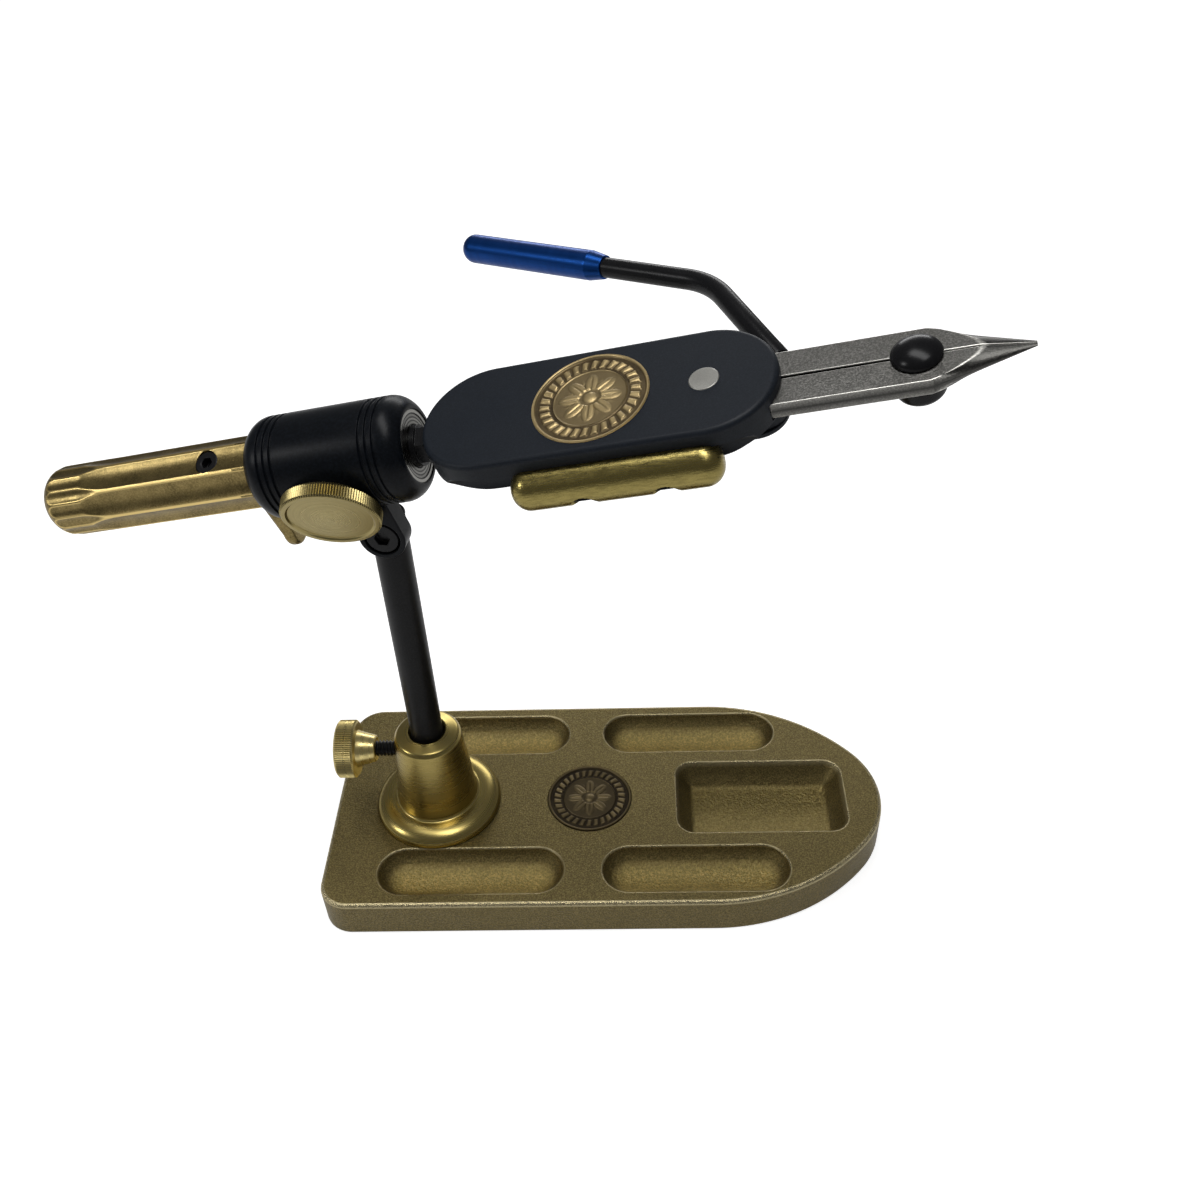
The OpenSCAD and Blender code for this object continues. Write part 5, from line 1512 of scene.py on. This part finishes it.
def light():
    """Soft lamps over the far side and the left, and a world that shows white and lights a little."""
    for name, place, size, power in LAMPS:
        lamp(name, place, size, power)
    world = bpy.data.worlds.new("Studio")
    world.use_nodes = True
    tree = world.node_tree
    tree.nodes.clear()
    path = tree.nodes.new("ShaderNodeLightPath")
    back = tree.nodes.new("ShaderNodeBackground")
    back.inputs["Color"].default_value = WHITE
    mirror = maths(tree, "MULTIPLY", mirrored_rays(tree, path), WORLD_MIRRORED)
    camera_share = maths(tree, "MULTIPLY", path.outputs["Is Camera Ray"], WORLD_SEEN)
    seen = maths(tree, "ADD", camera_share, WORLD_LIGHT)
    tree.links.new(maths(tree, "ADD", seen, mirror), back.inputs["Strength"])
    out = tree.nodes.new("ShaderNodeOutputWorld")
    tree.links.new(back.outputs[0], out.inputs["Surface"])
    bpy.context.scene.world = world
    bpy.context.scene.view_settings.view_transform = "Standard"


# Operators

class VISE_OT_base(bpy.types.Operator):
    """Builds the cast base with its trays, dish and seats"""

    bl_idname = "vise.base"
    bl_label = "Cast base"

    def execute(self, context):
        base_casting()
        return {"FINISHED"}


class VISE_OT_discs(bpy.types.Operator):
    """Builds the two ornamental discs"""

    bl_idname = "vise.discs"
    bl_label = "Discs"

    def execute(self, context):
        for node, place, tone in DISCS:
            rosette(node, place, tone)
        return {"FINISHED"}


class VISE_OT_boss(bpy.types.Operator):
    """Builds the stem's brass boss"""

    bl_idname = "vise.boss"
    bl_label = "Boss"

    def execute(self, context):
        stem_boss()
        return {"FINISHED"}


class VISE_OT_thumb_screw(bpy.types.Operator):
    """Builds the knurled thumb screw and its thread"""

    bl_idname = "vise.thumb_screw"
    bl_label = "Thumb screw"

    def execute(self, context):
        thumb_screw()
        return {"FINISHED"}


class VISE_OT_barrel(bpy.types.Operator):
    """Builds the grooved barrel and its lug"""

    bl_idname = "vise.barrel"
    bl_label = "Barrel"

    def execute(self, context):
        barrel()
        return {"FINISHED"}


class VISE_OT_tension_knob(bpy.types.Operator):
    """Builds the knurled drag knob"""

    bl_idname = "vise.tension_knob"
    bl_label = "Drag knob"

    def execute(self, context):
        tension_knob()
        return {"FINISHED"}


class VISE_OT_handle(bpy.types.Operator):
    """Builds the fluted handle"""

    bl_idname = "vise.handle"
    bl_label = "Handle"

    def execute(self, context):
        handle()
        return {"FINISHED"}


class VISE_OT_crank(bpy.types.Operator):
    """Builds the crank arm that joins the handle to the spindle"""

    bl_idname = "vise.crank"
    bl_label = "Crank arm"

    def execute(self, context):
        crank_arm()
        return {"FINISHED"}


class VISE_OT_bar(bpy.types.Operator):
    """Builds the turned weight bar"""

    bl_idname = "vise.bar"
    bl_label = "Weight bar"

    def execute(self, context):
        weight_bar()
        return {"FINISHED"}


class VISE_OT_jaws(bpy.types.Operator):
    """Builds the two jaws with their ground tips"""

    bl_idname = "vise.jaws"
    bl_label = "Jaws"

    def execute(self, context):
        jaws()
        return {"FINISHED"}


class VISE_OT_lever(bpy.types.Operator):
    """Builds the bent lever rod and its blue grip"""

    bl_idname = "vise.lever"
    bl_label = "Lever"

    def execute(self, context):
        lever()
        return {"FINISHED"}


class VISE_OT_button(bpy.types.Operator):
    """Builds the jaws' domed button"""

    bl_idname = "vise.button"
    bl_label = "Jaw button"

    def execute(self, context):
        jaw_button()
        return {"FINISHED"}


class VISE_OT_machined(bpy.types.Operator):
    """Eases the edges of the machined pieces and gives them their finishes"""

    bl_idname = "vise.machined"
    bl_label = "Machined pieces"

    def execute(self, context):
        machined_parts()
        return {"FINISHED"}


class VISE_OT_stage(bpy.types.Operator):
    """Sets up the table, the lamps and the camera"""

    bl_idname = "vise.stage"
    bl_label = "Stage"

    def execute(self, context):
        floor()
        light()
        camera()
        return {"FINISHED"}


class VISE_PT_panel(bpy.types.Panel):
    """Lists the vise's operators"""

    bl_label = "Tying vise"
    bl_idname = "VISE_PT_panel"
    bl_space_type = "VIEW_3D"
    bl_region_type = "UI"
    bl_category = "Tying vise"

    def draw(self, context):
        for operator in OPERATORS:
            self.layout.operator(operator.bl_idname)


OPERATORS = (VISE_OT_base, VISE_OT_discs, VISE_OT_boss, VISE_OT_thumb_screw, VISE_OT_barrel,
             VISE_OT_tension_knob, VISE_OT_handle, VISE_OT_crank, VISE_OT_bar, VISE_OT_jaws, VISE_OT_lever,
             VISE_OT_button, VISE_OT_machined, VISE_OT_stage)
CLASSES = (ViseSizes, ViseColours) + OPERATORS + (VISE_PT_panel,)


def register():
    for cls in CLASSES:
        bpy.utils.register_class(cls)
    bpy.types.Scene.vise_sizes = bpy.props.PointerProperty(type=ViseSizes)
    bpy.types.Scene.vise_colours = bpy.props.PointerProperty(type=ViseColours)


def unregister():
    del bpy.types.Scene.vise_colours
    del bpy.types.Scene.vise_sizes
    for cls in reversed(CLASSES):
        bpy.utils.unregister_class(cls)


def main():
    """Registers the classes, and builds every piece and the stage."""
    register()
    bpy.ops.vise.base()
    bpy.ops.vise.discs()
    bpy.ops.vise.boss()
    bpy.ops.vise.thumb_screw()
    bpy.ops.vise.barrel()
    bpy.ops.vise.tension_knob()
    bpy.ops.vise.handle()
    bpy.ops.vise.crank()
    bpy.ops.vise.bar()
    bpy.ops.vise.jaws()
    bpy.ops.vise.lever()
    bpy.ops.vise.button()
    bpy.ops.vise.machined()
    bpy.ops.vise.stage()


if __name__ == "__main__":
    main()
